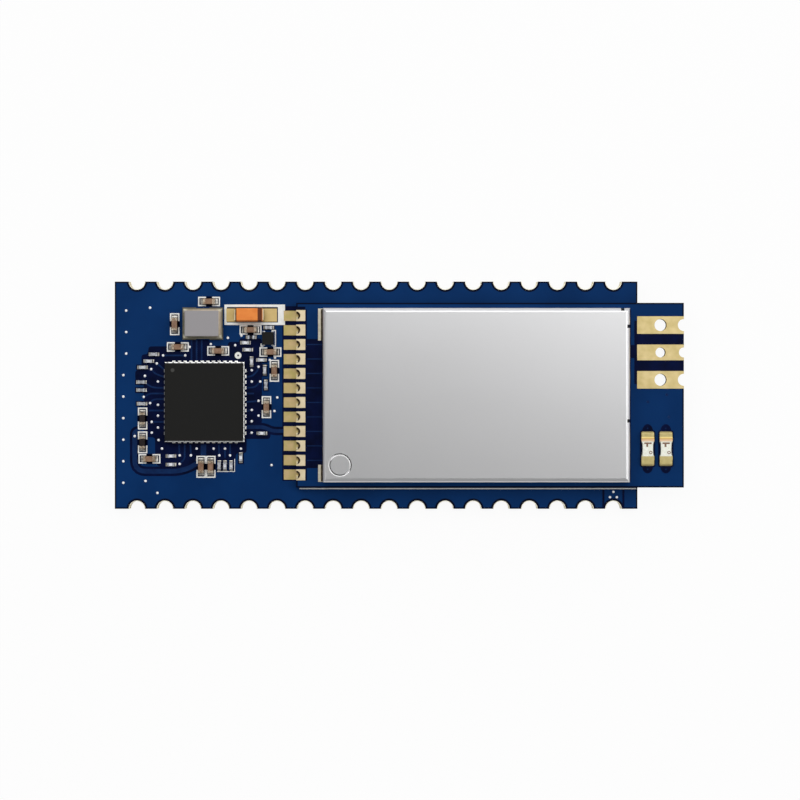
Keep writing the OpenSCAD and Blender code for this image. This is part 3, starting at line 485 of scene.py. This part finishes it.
board_line = [(x, rf_low.y - BOARD_INK_GAP) for x in line_ends]
sheet(marking, strip(board_line, BOARD_INK_W), board_top, INK_T)
ink = Finish("marking_ink", (244, 244, 240), roughness=0.6)
ink.paint("Base Color", ink.mottled(0.3, (234, 234, 228), (250, 250, 247)))
piece("carrier_marking", marking, ink)

# Edge contacts and landing lands: copper plated with nickel and a thin layer of gold. The half
# holes were drilled and plated before the board was cut through their middles.
# The default wall colour is a painted shade that darkens the inside of the drilled holes.
GOLD_WALL_SHADE = (52, 38, 16)
GOLD_METALLIC = 0.85
GOLD_SPECULAR = 0.5


def gold_finish(name, low, high, wall=GOLD_WALL_SHADE):
    """Gold on the flat faces, and on the drilled walls a duller colour, by default a dark brown painted
    shade.
    """
    finish = Finish(name, high, roughness=0.45, metallic=GOLD_METALLIC)
    level = finish.lies_flat()
    finish.paint("Base Color", finish.colors(level, wall, finish.mottled(0.7, low, high)))
    finish.paint("Metallic", finish.between(level, 0.0, 1.0, 0.0, GOLD_METALLIC))
    finish.paint("Specular IOR Level", finish.between(level, 0.0, 1.0, 0.0, GOLD_SPECULAR))
    finish.vary(0.3, 0.4, 0.5)
    return finish


gold = gold_finish("gold_plating", (188, 172, 107), (208, 181, 136))
dress(gold, "landing_lands")
edge_gold = gold_finish("edge_gold", (240, 234, 210), (248, 243, 226), wall=(226, 216, 184))
dress(edge_gold, "carrier_edge_contacts")

# Vias: small holes through the carrier, plated with copper. The mask covers their rims, and solder
# stands in them as a low dome, so that each shows as a bright dot.
DOME_H = 0.03
DOME_R = 0.11
quarter = [math.pi / 2 * i / 5 for i in range(6)]
barrel = Finish("via_barrel", MASK_NAVY, roughness=0.4, metallic=0.5)
masked = barrel.colors(barrel.cloud(0.3), (4, 30, 74), (8, 44, 96))
barrel.paint("Base Color", barrel.colors(barrel.lies_flat(), (200, 198, 190), masked))
dress(barrel, "carrier_vias")
dome = [(0.0, board_top)] + [(DOME_R * math.cos(a), board_top + DOME_H * math.sin(a)) for a in quarter]
caps = bmesh.new()
for spot, _ in vias:
    spun(caps, spot, dome, steps=16)
bmesh.ops.remove_doubles(caps, verts=caps.verts, dist=SAME_SPOT)
bright = Finish("via_solder", (252, 252, 252), roughness=0.35, metallic=0.2)
bright.paint("Base Color", bright.mottled(0.1, (244, 244, 244), (255, 255, 255)))
piece("via_caps", caps, bright)

# Processor: a square leadless package, moulded in black compound over flush tinned leads, with a
# small dimple at its first lead. Its bevelled rim carries a painted highlight, metallic white on all
# sides but the left one and brightest at the leads. Solder is drawn up its sides at each lead, and
# on the left side it is painted dark grey as painted shade.
DIMPLE, DIMPLE_R, DIMPLE_FADE = (-2.8, 2.8), 0.17, 0.03
LEAD_PITCH = 0.5
LEAD_BRIGHT, LEAD_GAP = 0.125, 0.225
RIM_TILT = ((0.5, 0.6), (0.9, 0.95))
RIM_HIGHLIGHT_NOT_LEFT = (-0.5, -0.3)
RIM_BETWEEN = 0.45
RIM_ROUGH, TOP_ROUGH = 0.2, 0.7
LEFT_SHADE_FADE = 0.1


def moulded(name):
    """Black moulding compound, and the colour of its grain."""
    finish = Finish(name, (28, 28, 27), roughness=TOP_ROUGH, specular=0.12)
    return finish, finish.mottled(0.05, (26, 26, 25), (31, 31, 30))


package, grain = moulded("processor_moulding")
reach = package.away_from(from_mcu(DIMPLE)[0])
dimple = package.between(reach, DIMPLE_R + DIMPLE_FADE, DIMPLE_R - DIMPLE_FADE)
top = package.colors(dimple, grain, (72, 72, 70))
x, y, _ = package.place()
facing = package.facing()
# Painted highlight: the bevel is painted metallic white, brighter at the leads and left dark on the left
# side.
rim = package.within(facing[2], *RIM_TILT)
rim = package.calc("MULTIPLY", rim, package.between(facing[0], *RIM_HIGHLIGHT_NOT_LEFT))
turn = package.calc("SUBTRACT", *[package.calc("ABSOLUTE", facing[i]) for i in (0, 1)])
turn = package.between(turn, -0.1, 0.1)
run = [package.calc("SUBTRACT", side, at) for side, at in zip((x, y), (mcu.x, mcu.y))]
run = package.calc("PINGPONG", package.between(turn, 0.0, 1.0, *run), LEAD_PITCH / 2)
rim = package.calc("MULTIPLY", rim, package.between(run, LEAD_GAP, LEAD_BRIGHT, RIM_BETWEEN, 1.0))
package.paint("Base Color", package.colors(rim, top, (246, 246, 244)))
package.paint("Metallic", rim)
package.paint("Roughness", package.between(rim, 0.0, 1.0, TOP_ROUGH, RIM_ROUGH))
dress(package, "mcu_body")
mcu_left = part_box("mcu_body")[0].x / MM
solder = Finish("reflowed_solder", (236, 236, 234), roughness=0.16, metallic=1.0)
solder.vary(0.12, 0.1, 0.24)
# Painted shade: the solder fillets on the processor's left side are painted dark grey.
unshaded = solder.between(solder.place()[0], mcu_left - LEFT_SHADE_FADE, mcu_left + LEFT_SHADE_FADE)
left_shade = solder.mottled(0.2, (66, 68, 74), (120, 122, 128))
solder.paint("Base Color", solder.colors(unshaded, left_shade, (236, 236, 234)))
dress(solder, "mcu_solder_fillets")
tin = Finish("tin_plating", (222, 222, 220), roughness=0.32, metallic=1.0)
tin.paint("Base Color", tin.mottled(0.2, (186, 189, 194), (216, 219, 224)))
tin.vary(0.1, 0.24, 0.42)
dress(tin, "mcu_leads")
dress(gold, "mcu_lands")

# Voltage regulator: a small block moulded in the same black compound, on tinned leads that are
# soldered to tinned lands.
moulding, grain = moulded("moulding_black")
moulding.paint("Base Color", grain)
moulding.relief(moulding.cloud(0.03), depth=0.003, strength=0.6)
dress(moulding, "regulator_body")
dress(tin, "regulator_leads", "regulator_lands")

# Crystal: a fired ceramic tray on gilded terminals, closed by a satin metal lid that is welded to
# a seal ring on the tray's rim. The tray and a band round the lid's welded edge carry painted light
# and shade: darker to the lower left, paler to the upper right, with painted highlights in the
# corners and a painted shadow along the tray's outer edge.
WELD = (0.04, 0.18, 0.06, 0.08)
WELD_FADE = 0.15
TRAY_EDGE_SHADE = (0.02, 0.14)
LID_GREY = (155, 152, 154)
tray_low, tray_high = extent("crystal_base")


def crystal_light_and_shade(finish):
    """Painted light and shade round the crystal over a random tone: paler to the upper right, olive and
    darker to the lower left, painted highlights in the corners and a painted shadow along the tray's outer
    edge.
    """
    x, y, _ = finish.place()
    along = finish.between(x, tray_low.x, tray_high.x, -1.0, 1.0)
    up = finish.between(y, tray_low.y, tray_high.y, -1.0, 1.0)
    shade = finish.between(finish.calc("ADD", along, up), -0.9, 0.9)
    shade = finish.calc("ADD", shade, finish.between(finish.cloud(0.25), 0.3, 0.7, -0.2, 0.2))
    border = finish.colors(shade, (96, 94, 74), (184, 168, 146))
    corner = finish.calc("ADD", finish.calc("ABSOLUTE", along), finish.calc("ABSOLUTE", up))
    color = finish.colors(finish.between(corner, 1.6, 1.8), border, (222, 216, 190))
    # Painted shadow: a dark band along the tray's outer edge.
    edge = finish.between(finish.least(finish.rims(tray_low, tray_high)), *TRAY_EDGE_SHADE)
    return finish.colors(edge, (88, 84, 70), color)


def satin_lid(name):
    """Grey metal, brushed lightly along one way."""
    finish = Finish(name, LID_GREY, roughness=0.42, metallic=0.5)
    finish.vary(0.2, 0.36, 0.5, stretch=(1.0, 6.0, 1.0))
    finish.relief(finish.cloud(0.04, stretch=(0.2, 4.0, 1.0)), depth=0.002, strength=0.3)
    return finish


shaded_tray = Finish("crystal_tray", (180, 170, 140), roughness=0.5)
shaded_tray.paint("Base Color", crystal_light_and_shade(shaded_tray))
dress(shaded_tray, "crystal_base", "crystal_lands")
lid = satin_lid("crystal_lid")
# The band round the lid's edge takes the same painted light and shade as the tray.
shares = [lid.calc("DIVIDE", rim, reach) for rim, reach in zip(lid.rims(*extent("crystal_lid")), WELD)]
weld = lid.between(lid.least(shares), 1 + WELD_FADE, 1 - WELD_FADE)
lid.paint("Base Color", lid.colors(weld, LID_GREY, crystal_light_and_shade(lid)))
dress(lid, "crystal_lid")
dress(gold_finish("crystal_gold", (226, 216, 180), (240, 232, 204)), "crystal_terminals")
dress(gold, "crystal_seal_ring")

# Tantalum capacitor: an orange moulded block with a brown bar printed across its positive end, on
# leads folded under both ends. A dark brown line at the other end is a painted shade on its bevel.
BAR = ((0.76, 0.8), (1.13, 1.16))
END_SHADE = (-1.06, -1.09)
orange = Finish("tantalum_moulding", (226, 136, 70), roughness=0.4, specular=0.3)
bar_x = orange.calc("SUBTRACT", orange.place()[0], middle("tantalum_body").x)
# The brown bar is print; the dark line at the other end is a painted shade on the bevel.
print_and_shade = orange.calc("MAXIMUM", orange.within(bar_x, *BAR), orange.between(bar_x, *END_SHADE))
shade = orange.mottled(0.5, (230, 128, 52), (240, 144, 64))
orange.paint("Base Color", orange.colors(print_and_shade, shade, (96, 42, 8)))
orange.relief(orange.cloud(0.06), depth=0.003, strength=0.4)
dress(orange, "tantalum_body")
dress(gold_finish("lead_gold", (222, 206, 166), (236, 224, 190)), "tantalum_leads")
dress(gold_finish("land_gold", (204, 177, 116), (214, 188, 130)), "tantalum_lands")

# Chip capacitors, ferrite beads and resistors: sintered blocks whose ends are dipped in metal and
# soldered to a pair of tinned lands. One of the resistors has a dark body.
DARK_CHIP, DARK_CHIP_R, DARK_CHIP_FADE = (3.86, 5.72), 0.45, 0.02
brown = Finish("capacitor_ceramic", (150, 100, 78), roughness=0.45, specular=0.3)
brown.paint("Base Color", brown.mottled(0.25, (123, 92, 72), (151, 120, 97)))
brown.relief(brown.cloud(0.05), depth=0.003, strength=0.5)
dress(brown, "capacitor_bodies")
ferrite = Finish("ferrite_dark", (30, 24, 24), roughness=0.5, specular=0.2)
ferrite.paint("Base Color", ferrite.mottled(0.1, (19, 13, 15), (36, 26, 26)))
dress(ferrite, "ferrite_bodies")
pale = Finish("resistor_ceramic", (200, 200, 202), roughness=0.4)
body = pale.mottled(1.6, (136, 138, 146), (234, 236, 242), spread=0.1)
reach = pale.away_from(from_mcu(DARK_CHIP)[0])
others = pale.between(reach, DARK_CHIP_R - DARK_CHIP_FADE, DARK_CHIP_R + DARK_CHIP_FADE)
pale.paint("Base Color", pale.colors(others, (24, 24, 30), body))
dress(pale, "resistor_bodies")
end_cap = Finish("dipped_ends", (186, 160, 136), roughness=0.3, metallic=1.0)
end_cap.paint("Base Color", end_cap.mottled(0.2, (160, 134, 110), (219, 206, 185), spread=0.15))
end_cap.vary(0.08, 0.22, 0.4)
dress(end_cap, "capacitor_ends", "ferrite_ends")
dress(tin, "resistor_ends", "chip_lands")
dull = Finish("dull_solder", (190, 178, 156), roughness=0.3, metallic=0.8)
dull.paint("Base Color", dull.mottled(0.2, (130, 125, 116), (208, 205, 198), spread=0.15))
dress(dull, "chip_solder_fillets")

# Radio board: a thinner board of the same laminate and mask. It lies on the landing lands, and its
# tracks run from the edge contacts to the shield can over a field without copper. Fields like it
# lie round the antenna contacts and the diodes. Two more dark strips are painted shadow: one
# beside the can's right wall and one along the left ends of the antenna lands.
FAN = slice(1, -2)
FAN_TRACK_W = 0.09
FAN_MARGIN = 0.2
STRIP_W = 0.13
STRIP_NEAR, STRIP_FAR = 0.03, 0.05
END_FIELD = 0.3
CAN_LAP = 0.1
CAN_SHADOW_W = 0.2
PAD_SHADOW_W = 0.24
FEED_NEAR, FEED_FAR = 0.2, 0.04
GROUND_INSET = 0.4
LED_MARGIN_X, LED_MARGIN_Y, LED_CORNER = 0.13, 0.12, 0.2
LOBE = (0.48, 0.66)
dress(mask_finish("radio_mask", "rf_board"), "rf_board")
rf_top = rf_high.z
can_low, can_high = extent("shield_can")
contact_low, contact_high = extent("rf_edge_contacts")
signal_low, signal_high = extent("antenna_signal_contact")
led_low, led_high = extent("led_lands")
grounds = solids("antenna_ground_contacts")
ant_x = signal_low.x
pad_shadow_x = ant_x - PAD_SHADOW_W
rows = sorted((low.y, high.y) for low, high in solids("rf_edge_contacts"))
fan_x = contact_high.x + STRIP_W
gaps = [(below[1], above[0]) for below, above in zip(rows, rows[1:])]
fields = [
    *[box_outline((rf_low.x, start), (contact_high.x, end)) for start, end in gaps],
    box_outline((contact_high.x, contact_low.y - STRIP_NEAR), (fan_x, contact_high.y + STRIP_FAR)),
    box_outline((rf_low.x, contact_high.y), (contact_high.x, contact_high.y + END_FIELD)),
    box_outline((fan_x, rows[FAN][0][0] - FAN_MARGIN), (can_low.x + CAN_LAP, rows[FAN][-1][1])),
    box_outline((ant_x, grounds[0][1].y), (rf_high.x, signal_low.y)),
    box_outline((ant_x, signal_high.y), (rf_high.x, grounds[1][0].y)),
    # Painted shadow: a dark strip along the left ends of the antenna lands.
    box_outline((pad_shadow_x, grounds[0][0].y + GROUND_INSET), (ant_x, grounds[1][1].y - GROUND_INSET)),
    box_outline((can_high.x - CAN_LAP, signal_low.y + FEED_NEAR), (pad_shadow_x, signal_high.y - FEED_FAR))
]
led_middles = [((low + high) / 2, (high.x - low.x) / 2) for low, high in solids("led_bases")]
for centre, half in led_middles:
    reach = half + LED_MARGIN_X
    corners = ((centre.x - reach, led_low.y - LED_MARGIN_Y), (centre.x + reach, led_high.y + LED_MARGIN_Y))
    fields.append(curved(box_outline(*corners), LED_CORNER, closed=True))
    fields += [round_outline((centre.x, y), *LOBE, steps=24) for y in (led_low.y, led_high.y)]
# Painted shadow: a dark strip beside the can's right wall.
can_shadow = ((can_high.x - CAN_LAP, can_low.y + CAN_LAP), (can_high.x + CAN_SHADOW_W, can_high.y - CAN_LAP))
fields.append(box_outline(*can_shadow))
rf_fields = bmesh.new()
for i, outline in enumerate(fields):
    sheet(rf_fields, outline, rf_top, FIELD_T + i * FIELD_STEP / 4)
piece("radio_clearance", rf_fields, navy)
TENTED = ((-3.15, -0.58), (-1.48, 0.04), (-1.3, -1.9))
TENTED_R = 0.13
LED_VIA_R = 0.07
LED_VIA_OUT = 0.3
FAN_LAP = 0.05
rf_tracks = bmesh.new()
for low, high in rows[FAN]:
    y = (low + high) / 2
    sheet(rf_tracks, strip([(fan_x, y), (can_low.x + FAN_LAP, y)], FAN_TRACK_W), rf_top, TRACK_T)
for centre, _ in led_middles:
    for y in (led_low.y - LED_VIA_OUT, led_high.y + LED_VIA_OUT):
        sheet(rf_tracks, round_outline((centre.x, y), LED_VIA_R, LED_VIA_R), rf_top, TRACK_T)
for x, y in TENTED:
    sheet(rf_tracks, round_outline((rf_high.x + x, y), TENTED_R, TENTED_R), rf_top, TRACK_T)
piece("radio_tracks", rf_tracks, ridge)

# Edge contacts of the radio board: gilded half holes with lands on both faces, each filled part way
# up with the solder that joins it to the carrier. The solder carries a painted shade, dark brown
# where it climbs the hole's wall, and a painted highlight, near white at the side of its mouth.
CLIMB_SHADE_TILT = (0.84, 0.97)
MOUTH_HIGHLIGHT_ALONG, MOUTH_HIGHLIGHT_ACROSS = (0.3, 0.5), (-0.4, -0.2)
dress(gold_finish("contact_gold", (222, 203, 164), (236, 221, 188)), "rf_edge_contacts")
gilded = Finish("gilded_solder", (226, 204, 136), roughness=0.3, metallic=0.4)
facing = gilded.facing()
# Painted shade on the steep solder and a painted highlight where it faces the near side of the mouth.
climb_shaded = gilded.colors(gilded.between(facing[2], *CLIMB_SHADE_TILT), (58, 36, 6), (228, 204, 134))
mouth_highlight = [gilded.between(facing[1], *MOUTH_HIGHLIGHT_ALONG), gilded.between(facing[0], *MOUTH_HIGHLIGHT_ACROSS)]
mouth_highlight = gilded.calc("MULTIPLY", *mouth_highlight)
gilded.paint("Base Color", gilded.colors(mouth_highlight, climb_shaded, (255, 246, 208)))
gilded.vary(0.12, 0.22, 0.34)
dress(gilded, "module_solder_fillets")

# Antenna contacts: three long gilded lands at the overhanging end, each with a plated hole and a
# half hole in the edge. The outer two are ground and the middle one carries the signal.
cream = gold_finish("antenna_gold", (206, 186, 127), (225, 205, 151))
dress(cream, "antenna_ground_contacts", "antenna_signal_contact")

# Radio chips under the can: the transceiver, its oscillator, the amplifiers, the switches, the
# filter, the balun and their capacitors stand on gilded lands, hidden by the can. The oscillator,
# the filter and the balun have bodies of fired ceramic.
dress(moulding, "transceiver_body", "transmit_amplifier", "receive_amplifier", "antenna_switches")
tray = Finish("crystal_ceramic", (196, 188, 160), roughness=0.5)
tray.paint("Base Color", tray.mottled(0.2, (164, 152, 118), (196, 188, 160)))
dress(tray, "oscillator_base", "band_filter", "balun")
dress(satin_lid("oscillator_lid"), "oscillator_lid")
dress(brown, "radio_capacitor_bodies")
dress(end_cap, "radio_capacitor_ends", "filter_ends")
dress(tin, "transceiver_leads", "radio_chip_leads")
dress(gold, "radio_lands", "oscillator_terminals")

# Shield can: one sheet of tin-plated steel with its four walls folded down, duller where it is bent,
# and soldered to a frame of ground lands with a run at each left corner. A ring is stamped into the
# top at the first contact's corner; one flank of its groove has a painted highlight in white and
# the other a painted shade. The floors of its notches are painted near black as painted shade.
RING_INSET, RING_R, RING_TIP, RING_FADE = 1.5, 0.93, 0.1, 0.01
NOTCH_DEPTH, NOTCH_FADE = 0.6, 0.1
FLAT_TIN, BENT_TIN = (230, 230, 231), (204, 204, 206)
FLAT_ROUGH, BENT_ROUGH, RING_ROUGH = (0.27, 0.29), 0.45, 0.25
BENT_TILT = ((0.05, 0.15), (0.95, 0.99))
SHADED_FLANK, HIGHLIGHT_FLANK = (-0.1, -0.35), (-0.05, 0.2)
FLANK_METALLIC = 0.3
satin = Finish("shield_sheet", FLAT_TIN, roughness=0.28, metallic=1.0)
reach = satin.away_from((can_low.x + RING_INSET, can_low.y + RING_INSET))
off_ring = satin.calc("ABSOLUTE", satin.calc("SUBTRACT", reach, RING_R))
plain = satin.between(off_ring, RING_TIP - RING_FADE, RING_TIP + RING_FADE)
facing = satin.facing()
up = facing[2]
fold = satin.calc("MULTIPLY", satin.within(up, *BENT_TILT), plain)
rolled = satin.between(satin.cloud(9.0), 0.0, 1.0, *FLAT_ROUGH)
rolled = satin.between(fold, 0.0, 1.0, rolled, BENT_ROUGH)
satin.paint("Roughness", satin.between(plain, 0.0, 1.0, RING_ROUGH, rolled))
groove = satin.calc("SUBTRACT", 1.0, plain)
# Painted shade and highlight: the groove's flank facing the lower left is painted dark, the one facing the
# upper right white.
tilt = satin.calc("ADD", facing[0], facing[1])
shaded = satin.calc("MULTIPLY", groove, satin.between(tilt, *SHADED_FLANK))
lit = satin.calc("MULTIPLY", groove, satin.between(tilt, *HIGHLIGHT_FLANK))
tinplate = satin.colors(fold, FLAT_TIN, BENT_TIN)
tinplate = satin.colors(shaded, tinplate, (36, 36, 38))
tinplate = satin.colors(lit, tinplate, (255, 255, 255))
# Painted shade: faces that look up deep below the top, the notch floors, are painted near black and not
# metallic.
depth = satin.calc("SUBTRACT", can_high.z, satin.place()[2])
deep = satin.between(depth, NOTCH_DEPTH - NOTCH_FADE, NOTCH_DEPTH)
notch = satin.calc("MULTIPLY", satin.between(up, 0.9, 0.95), deep)
satin.paint("Base Color", satin.colors(notch, tinplate, (12, 14, 18)))
outside_notch = satin.calc("SUBTRACT", 1.0, notch)
polish = satin.between(lit, 0.0, 1.0, 1.0, FLANK_METALLIC)
satin.paint("Metallic", satin.calc("MULTIPLY", outside_notch, polish))
dress(satin, "shield_can")
tinned = Finish("tinned_lands", (212, 206, 186), roughness=0.4, metallic=0.7)
tinned.paint("Base Color", tinned.mottled(0.3, (202, 194, 170), (220, 214, 196)))
tinned.vary(0.2, 0.36, 0.5)
dress(tinned, "shield_ground_lands")


def seam(bm, start, end, out, section, z):
    """Run of solder along a line, with a section given from the foot of the wall behind it."""
    start, end, out = Vector(start), Vector(end), Vector(out)
    face = bm.faces.new([bm.verts.new((*(start + out * reach), z + rise)) for reach, rise in section])
    draw_out(bm, [face], (*(end - start), 0.0))


SEAM_W, SEAM_H = 0.2, 0.35
SEAM_SHORT = 0.05
FAR_SEAM, NEAR_SEAM = 2.8, 1.5
ground_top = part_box("shield_ground_lands")[1].z / MM
hollow = [(0.0, 0.0)] + [(SEAM_W * (1 - math.sin(a)), SEAM_H * (1 - math.cos(a))) for a in quarter]
runs = [
    (can_high.y - FAR_SEAM, can_high.y - SEAM_SHORT),
    (can_low.y + SEAM_SHORT, can_low.y + NEAR_SEAM)
]
seams = bmesh.new()
for start, end in runs:
    seam(seams, (can_low.x, start), (can_low.x, end), (-1, 0), hollow, ground_top)
# The runs of solder are painted dark brown, a painted shade in the corner between the land and the can's
# wall.
seam_shade = Finish("seam_solder", (64, 54, 42), roughness=0.35, metallic=0.9)
seam_shade.paint("Base Color", seam_shade.mottled(0.3, (48, 40, 30), (84, 72, 58)))
piece("can_seams", seams, seam_shade)

# Light emitting diodes: a plate with gilded ends under a clear cast body. On the plate lie a white
# layer that is narrower in the middle, a small die on its pad and a ring printed at the other end,
# and rounded solder joints hold the ends to their lands.
RESIN_ALPHA = 0.02
diode_plate = Finish("diode_plate", (252, 252, 246), roughness=0.5)
diode_plate.paint("Base Color", diode_plate.mottled(0.2, (236, 238, 220), (254, 254, 246)))
dress(diode_plate, "led_bases")
resin = Finish("diode_resin", (255, 254, 250), roughness=0.12)
resin.shader.inputs["Alpha"].default_value = RESIN_ALPHA
dress(resin, "led_lenses")
FAR_END = ((0.4, 0.5), (1.03, 1.08))
FLUSH_SPAN, HIGHLIGHT_SPAN = (0.79, 0.86), (0.9, 0.94)
tan = Finish("diode_gold", (206, 188, 124), roughness=0.4, metallic=0.3)
up_plate = tan.calc("SUBTRACT", tan.place()[1], middle("led_bases").y)
gilding = tan.mottled(0.3, (190, 173, 113), (205, 189, 130))
# At the far end the gilding runs through peach and orange-tan bands to a pale stripe at the plate's end,
# which is a painted highlight.
flush = tan.colors(tan.between(up_plate, *FLUSH_SPAN), (238, 202, 164), (216, 168, 94))
edge = tan.colors(tan.between(up_plate, *HIGHLIGHT_SPAN), flush, (248, 222, 142))
tan.paint("Base Color", tan.colors(tan.within(up_plate, *FAR_END), gilding, edge))
dress(tan, "led_lands", "led_ends")
WAIST, WAIST_STEPS = 0.09, 8
FACE_INSET = 0.01
FACE_T = 0.006
PAD, PAD_T = ((-0.32, 0.42), (0.32, 0.56)), 0.01
DIE, DIE_T = ((-0.14, 0.17), (0.02, 0.42)), 0.008
EYE, EYE_HOLE_R, EYE_R = (0.25, -0.32), 0.08, 0.15
JOINT_SHORT = 0.05
JOINT_R = 0.16
end_low, end_high = extent("led_ends")
joint_h = end_high.z - led_high.z
faces = bmesh.new()
marks = bmesh.new()
joints = bmesh.new()
for low, high in solids("led_bases"):
    centre = (low + high) / 2
    half = (high - low) / 2
    shares = [i / WAIST_STEPS - 1 for i in range(2 * WAIST_STEPS + 1)]
    side = [(half.x - WAIST * (1 - s * s) - FACE_INSET, s * half.y) for s in shares]
    outline = side + [(-x, -y) for x, y in side]
    sheet(faces, turned(outline, centre), high.z, FACE_T)
    z = high.z + FACE_T
    sheet(marks, box_outline(*turned(PAD, centre)), z, PAD_T)
    sheet(marks, box_outline(*turned(DIE, centre)), z, DIE_T)
    ring(marks, turned([EYE], centre)[0], EYE_HOLE_R, EYE_R, z, PAD_T)
    for y, way, toe in ((end_high.y, 1, led_high.y), (end_low.y, -1, led_low.y)):
        ends = ((centre.x - half.x, y), (centre.x + half.x, y))
        length = abs(toe - y) - JOINT_SHORT
        heart = (length - JOINT_R, joint_h - JOINT_R)
        crown = [(heart[0] + JOINT_R * math.cos(a), heart[1] + JOINT_R * math.sin(a)) for a in quarter]
        seam(joints, *ends, (0, way), [(0.0, 0.0), (length, 0.0), *crown, (0.0, joint_h)], led_high.z)
piece("diode_faces", faces, diode_plate)
piece("diode_joints", joints, tan)
mark_brown = Finish("diode_mark", (150, 100, 70), roughness=0.5)
mark_brown.paint("Base Color", mark_brown.colors(mark_brown.cloud(0.1), (96, 66, 44), (150, 112, 84)))
piece("diode_marks", marks, mark_brown)

# Floor: a white sweep that keeps a soft shadow, and looks white to the camera and in reflections.
# It lies just under the edge contacts' lands, and its sizes are in metres.
FLOOR_HALF = 0.6
FLOOR_DROP = 0.00002
FLOOR_GREY = 0.86
GLOW_SHARE = 0.93
floor_mesh = bmesh.new()
bmesh.ops.create_grid(floor_mesh, x_segments=1, y_segments=1, size=FLOOR_HALF)
bmesh.ops.translate(floor_mesh, vec=(0, 0, -FLOOR_DROP), verts=floor_mesh.verts)
floor = bpy.data.objects.new("floor", bpy.data.meshes.new("floor"))
floor_mesh.to_mesh(floor.data)
floor_mesh.free()
bpy.context.scene.collection.objects.link(floor)
white = bpy.data.materials.new("white_sweep")
white.use_nodes = True
tree = white.node_tree
tree.nodes.clear()
matt = add_node(tree, "BsdfDiffuse", {"Color": (FLOOR_GREY, FLOOR_GREY, FLOOR_GREY, 1.0)})
glow = add_node(tree, "Emission", {"Strength": 1.0})
rays = add_node(tree, "LightPath").outputs
either = add_node(tree, "Math", {0: rays["Is Camera Ray"], 1: rays["Is Glossy Ray"]}, operation="MAXIMUM")
seen = add_node(tree, "Math", {0: either.outputs[0], 1: rays["Is Transmission Ray"]}, operation="MAXIMUM")
share = add_node(tree, "Math", {0: seen.outputs[0], 1: GLOW_SHARE}, operation="MULTIPLY")
mixed = add_node(tree, "MixShader", {0: share.outputs[0], 1: matt.outputs[0], 2: glow.outputs[0]})
add_node(tree, "OutputMaterial", {"Surface": mixed.outputs[0]})
floor.data.materials.append(white)

# Light: a softbox above and behind, with a bright near part and a dim far one. Low strips stand to
# the right and behind, a panel in front and a strip high on the left, in a dim room with pale walls.
# Places and sizes are in metres, and power is in watts.
SOFTBOX_TURN = -0.35
SOFTBOX_NEAR = 0.058
SOFTBOX_HEIGHT = 0.5
SOFTBOX_W = 1.5
SOFTBOX_PARTS = {"top_softbox": (0.3, 2.87), "far_softbox": (0.74, 1.22)}
LAMPS = {
    "right_strip": ((0.45, 0.0, 0.125), (0.6, 0.1), 0.22),
    "rear_strip": ((0.0, 0.45, 0.125), (0.6, 0.1), 0.17),
    "front_panel": ((0.0, -0.33, 0.4), (0.7, 0.2), 0.14),
    "left_strip": ((-0.24, 0.0, 0.42), (0.5, 0.12), 0.14)
}
ROOM_LEVEL = 0.2
ROOM_SLOPE = (-0.04, 0.2, 0.0)
WALL_LEVEL = 0.36
WALL_TOP, WALL_FULL = 0.75, 0.35


def area_light(name, place, target, size, power, turn=0.0):
    data = bpy.data.lights.new(name, "AREA")
    data.shape = "RECTANGLE"
    data.size, data.size_y = size
    data.energy = power
    lamp = bpy.data.objects.new(name, data)
    lamp.location = place
    aim = (Vector(target) - Vector(place)).to_track_quat("-Z", "Y")
    lamp.rotation_euler = (Quaternion((0, 0, 1), turn) @ aim).to_euler()
    bpy.context.scene.collection.objects.link(lamp)


near_edge = SOFTBOX_NEAR
for name, (depth, power) in SOFTBOX_PARTS.items():
    reach = near_edge + depth / 2
    spot = (-math.sin(SOFTBOX_TURN) * reach, math.cos(SOFTBOX_TURN) * reach)
    area_light(name, (*spot, SOFTBOX_HEIGHT), (*spot, 0.0), (SOFTBOX_W, depth), power, SOFTBOX_TURN)
    near_edge += depth
for name, (place, size, power) in LAMPS.items():
    area_light(name, place, (0.0, 0.0, 0.0), size, power)
world = bpy.data.worlds.new("room")
world.use_nodes = True
tree = world.node_tree
way = add_node(tree, "TexCoord").outputs["Generated"]
lean = add_node(tree, "VectorMath", {0: way, 1: ROOM_SLOPE}, operation="DOT_PRODUCT").outputs["Value"]
height = add_node(tree, "SeparateXYZ", {0: way}).outputs[2]
wall_span = {"Value": height, "From Min": WALL_TOP, "From Max": WALL_FULL}
walls = add_node(tree, "MapRange", wall_span, interpolation_type="SMOOTHSTEP").outputs[0]
shine = add_node(tree, "Math", {0: lean, 1: WALL_LEVEL}).outputs[0]
level = add_node(tree, "Math", {0: walls, 1: shine, 2: ROOM_LEVEL}, operation="MULTIPLY_ADD").outputs[0]
background = tree.nodes["Background"].inputs
tree.links.new(level, background["Strength"])
background["Color"].default_value = (1.0, 1.0, 1.0, 1.0)
bpy.context.scene.world = world

# Camera: straight above, a little right of the carrier's middle, far enough off that the board's
# sides don't show.
CAMERA_PLACE = (2.104, -0.4225)
CAMERA_HEIGHT = 250.0
CAMERA_CLIP = 0.01
VIEW_W = 70.42
SENSOR = 36.0
camera_data = bpy.data.cameras.new("camera")
camera_data.sensor_width = SENSOR
camera_data.lens = SENSOR * CAMERA_HEIGHT / VIEW_W
camera_data.clip_start = CAMERA_CLIP
camera = bpy.data.objects.new("camera", camera_data)
camera.location = (CAMERA_PLACE[0] * MM, CAMERA_PLACE[1] * MM, (board_top + CAMERA_HEIGHT) * MM)
bpy.context.scene.collection.objects.link(camera)
bpy.context.scene.camera = camera
bpy.context.scene.view_settings.view_transform = "Standard"
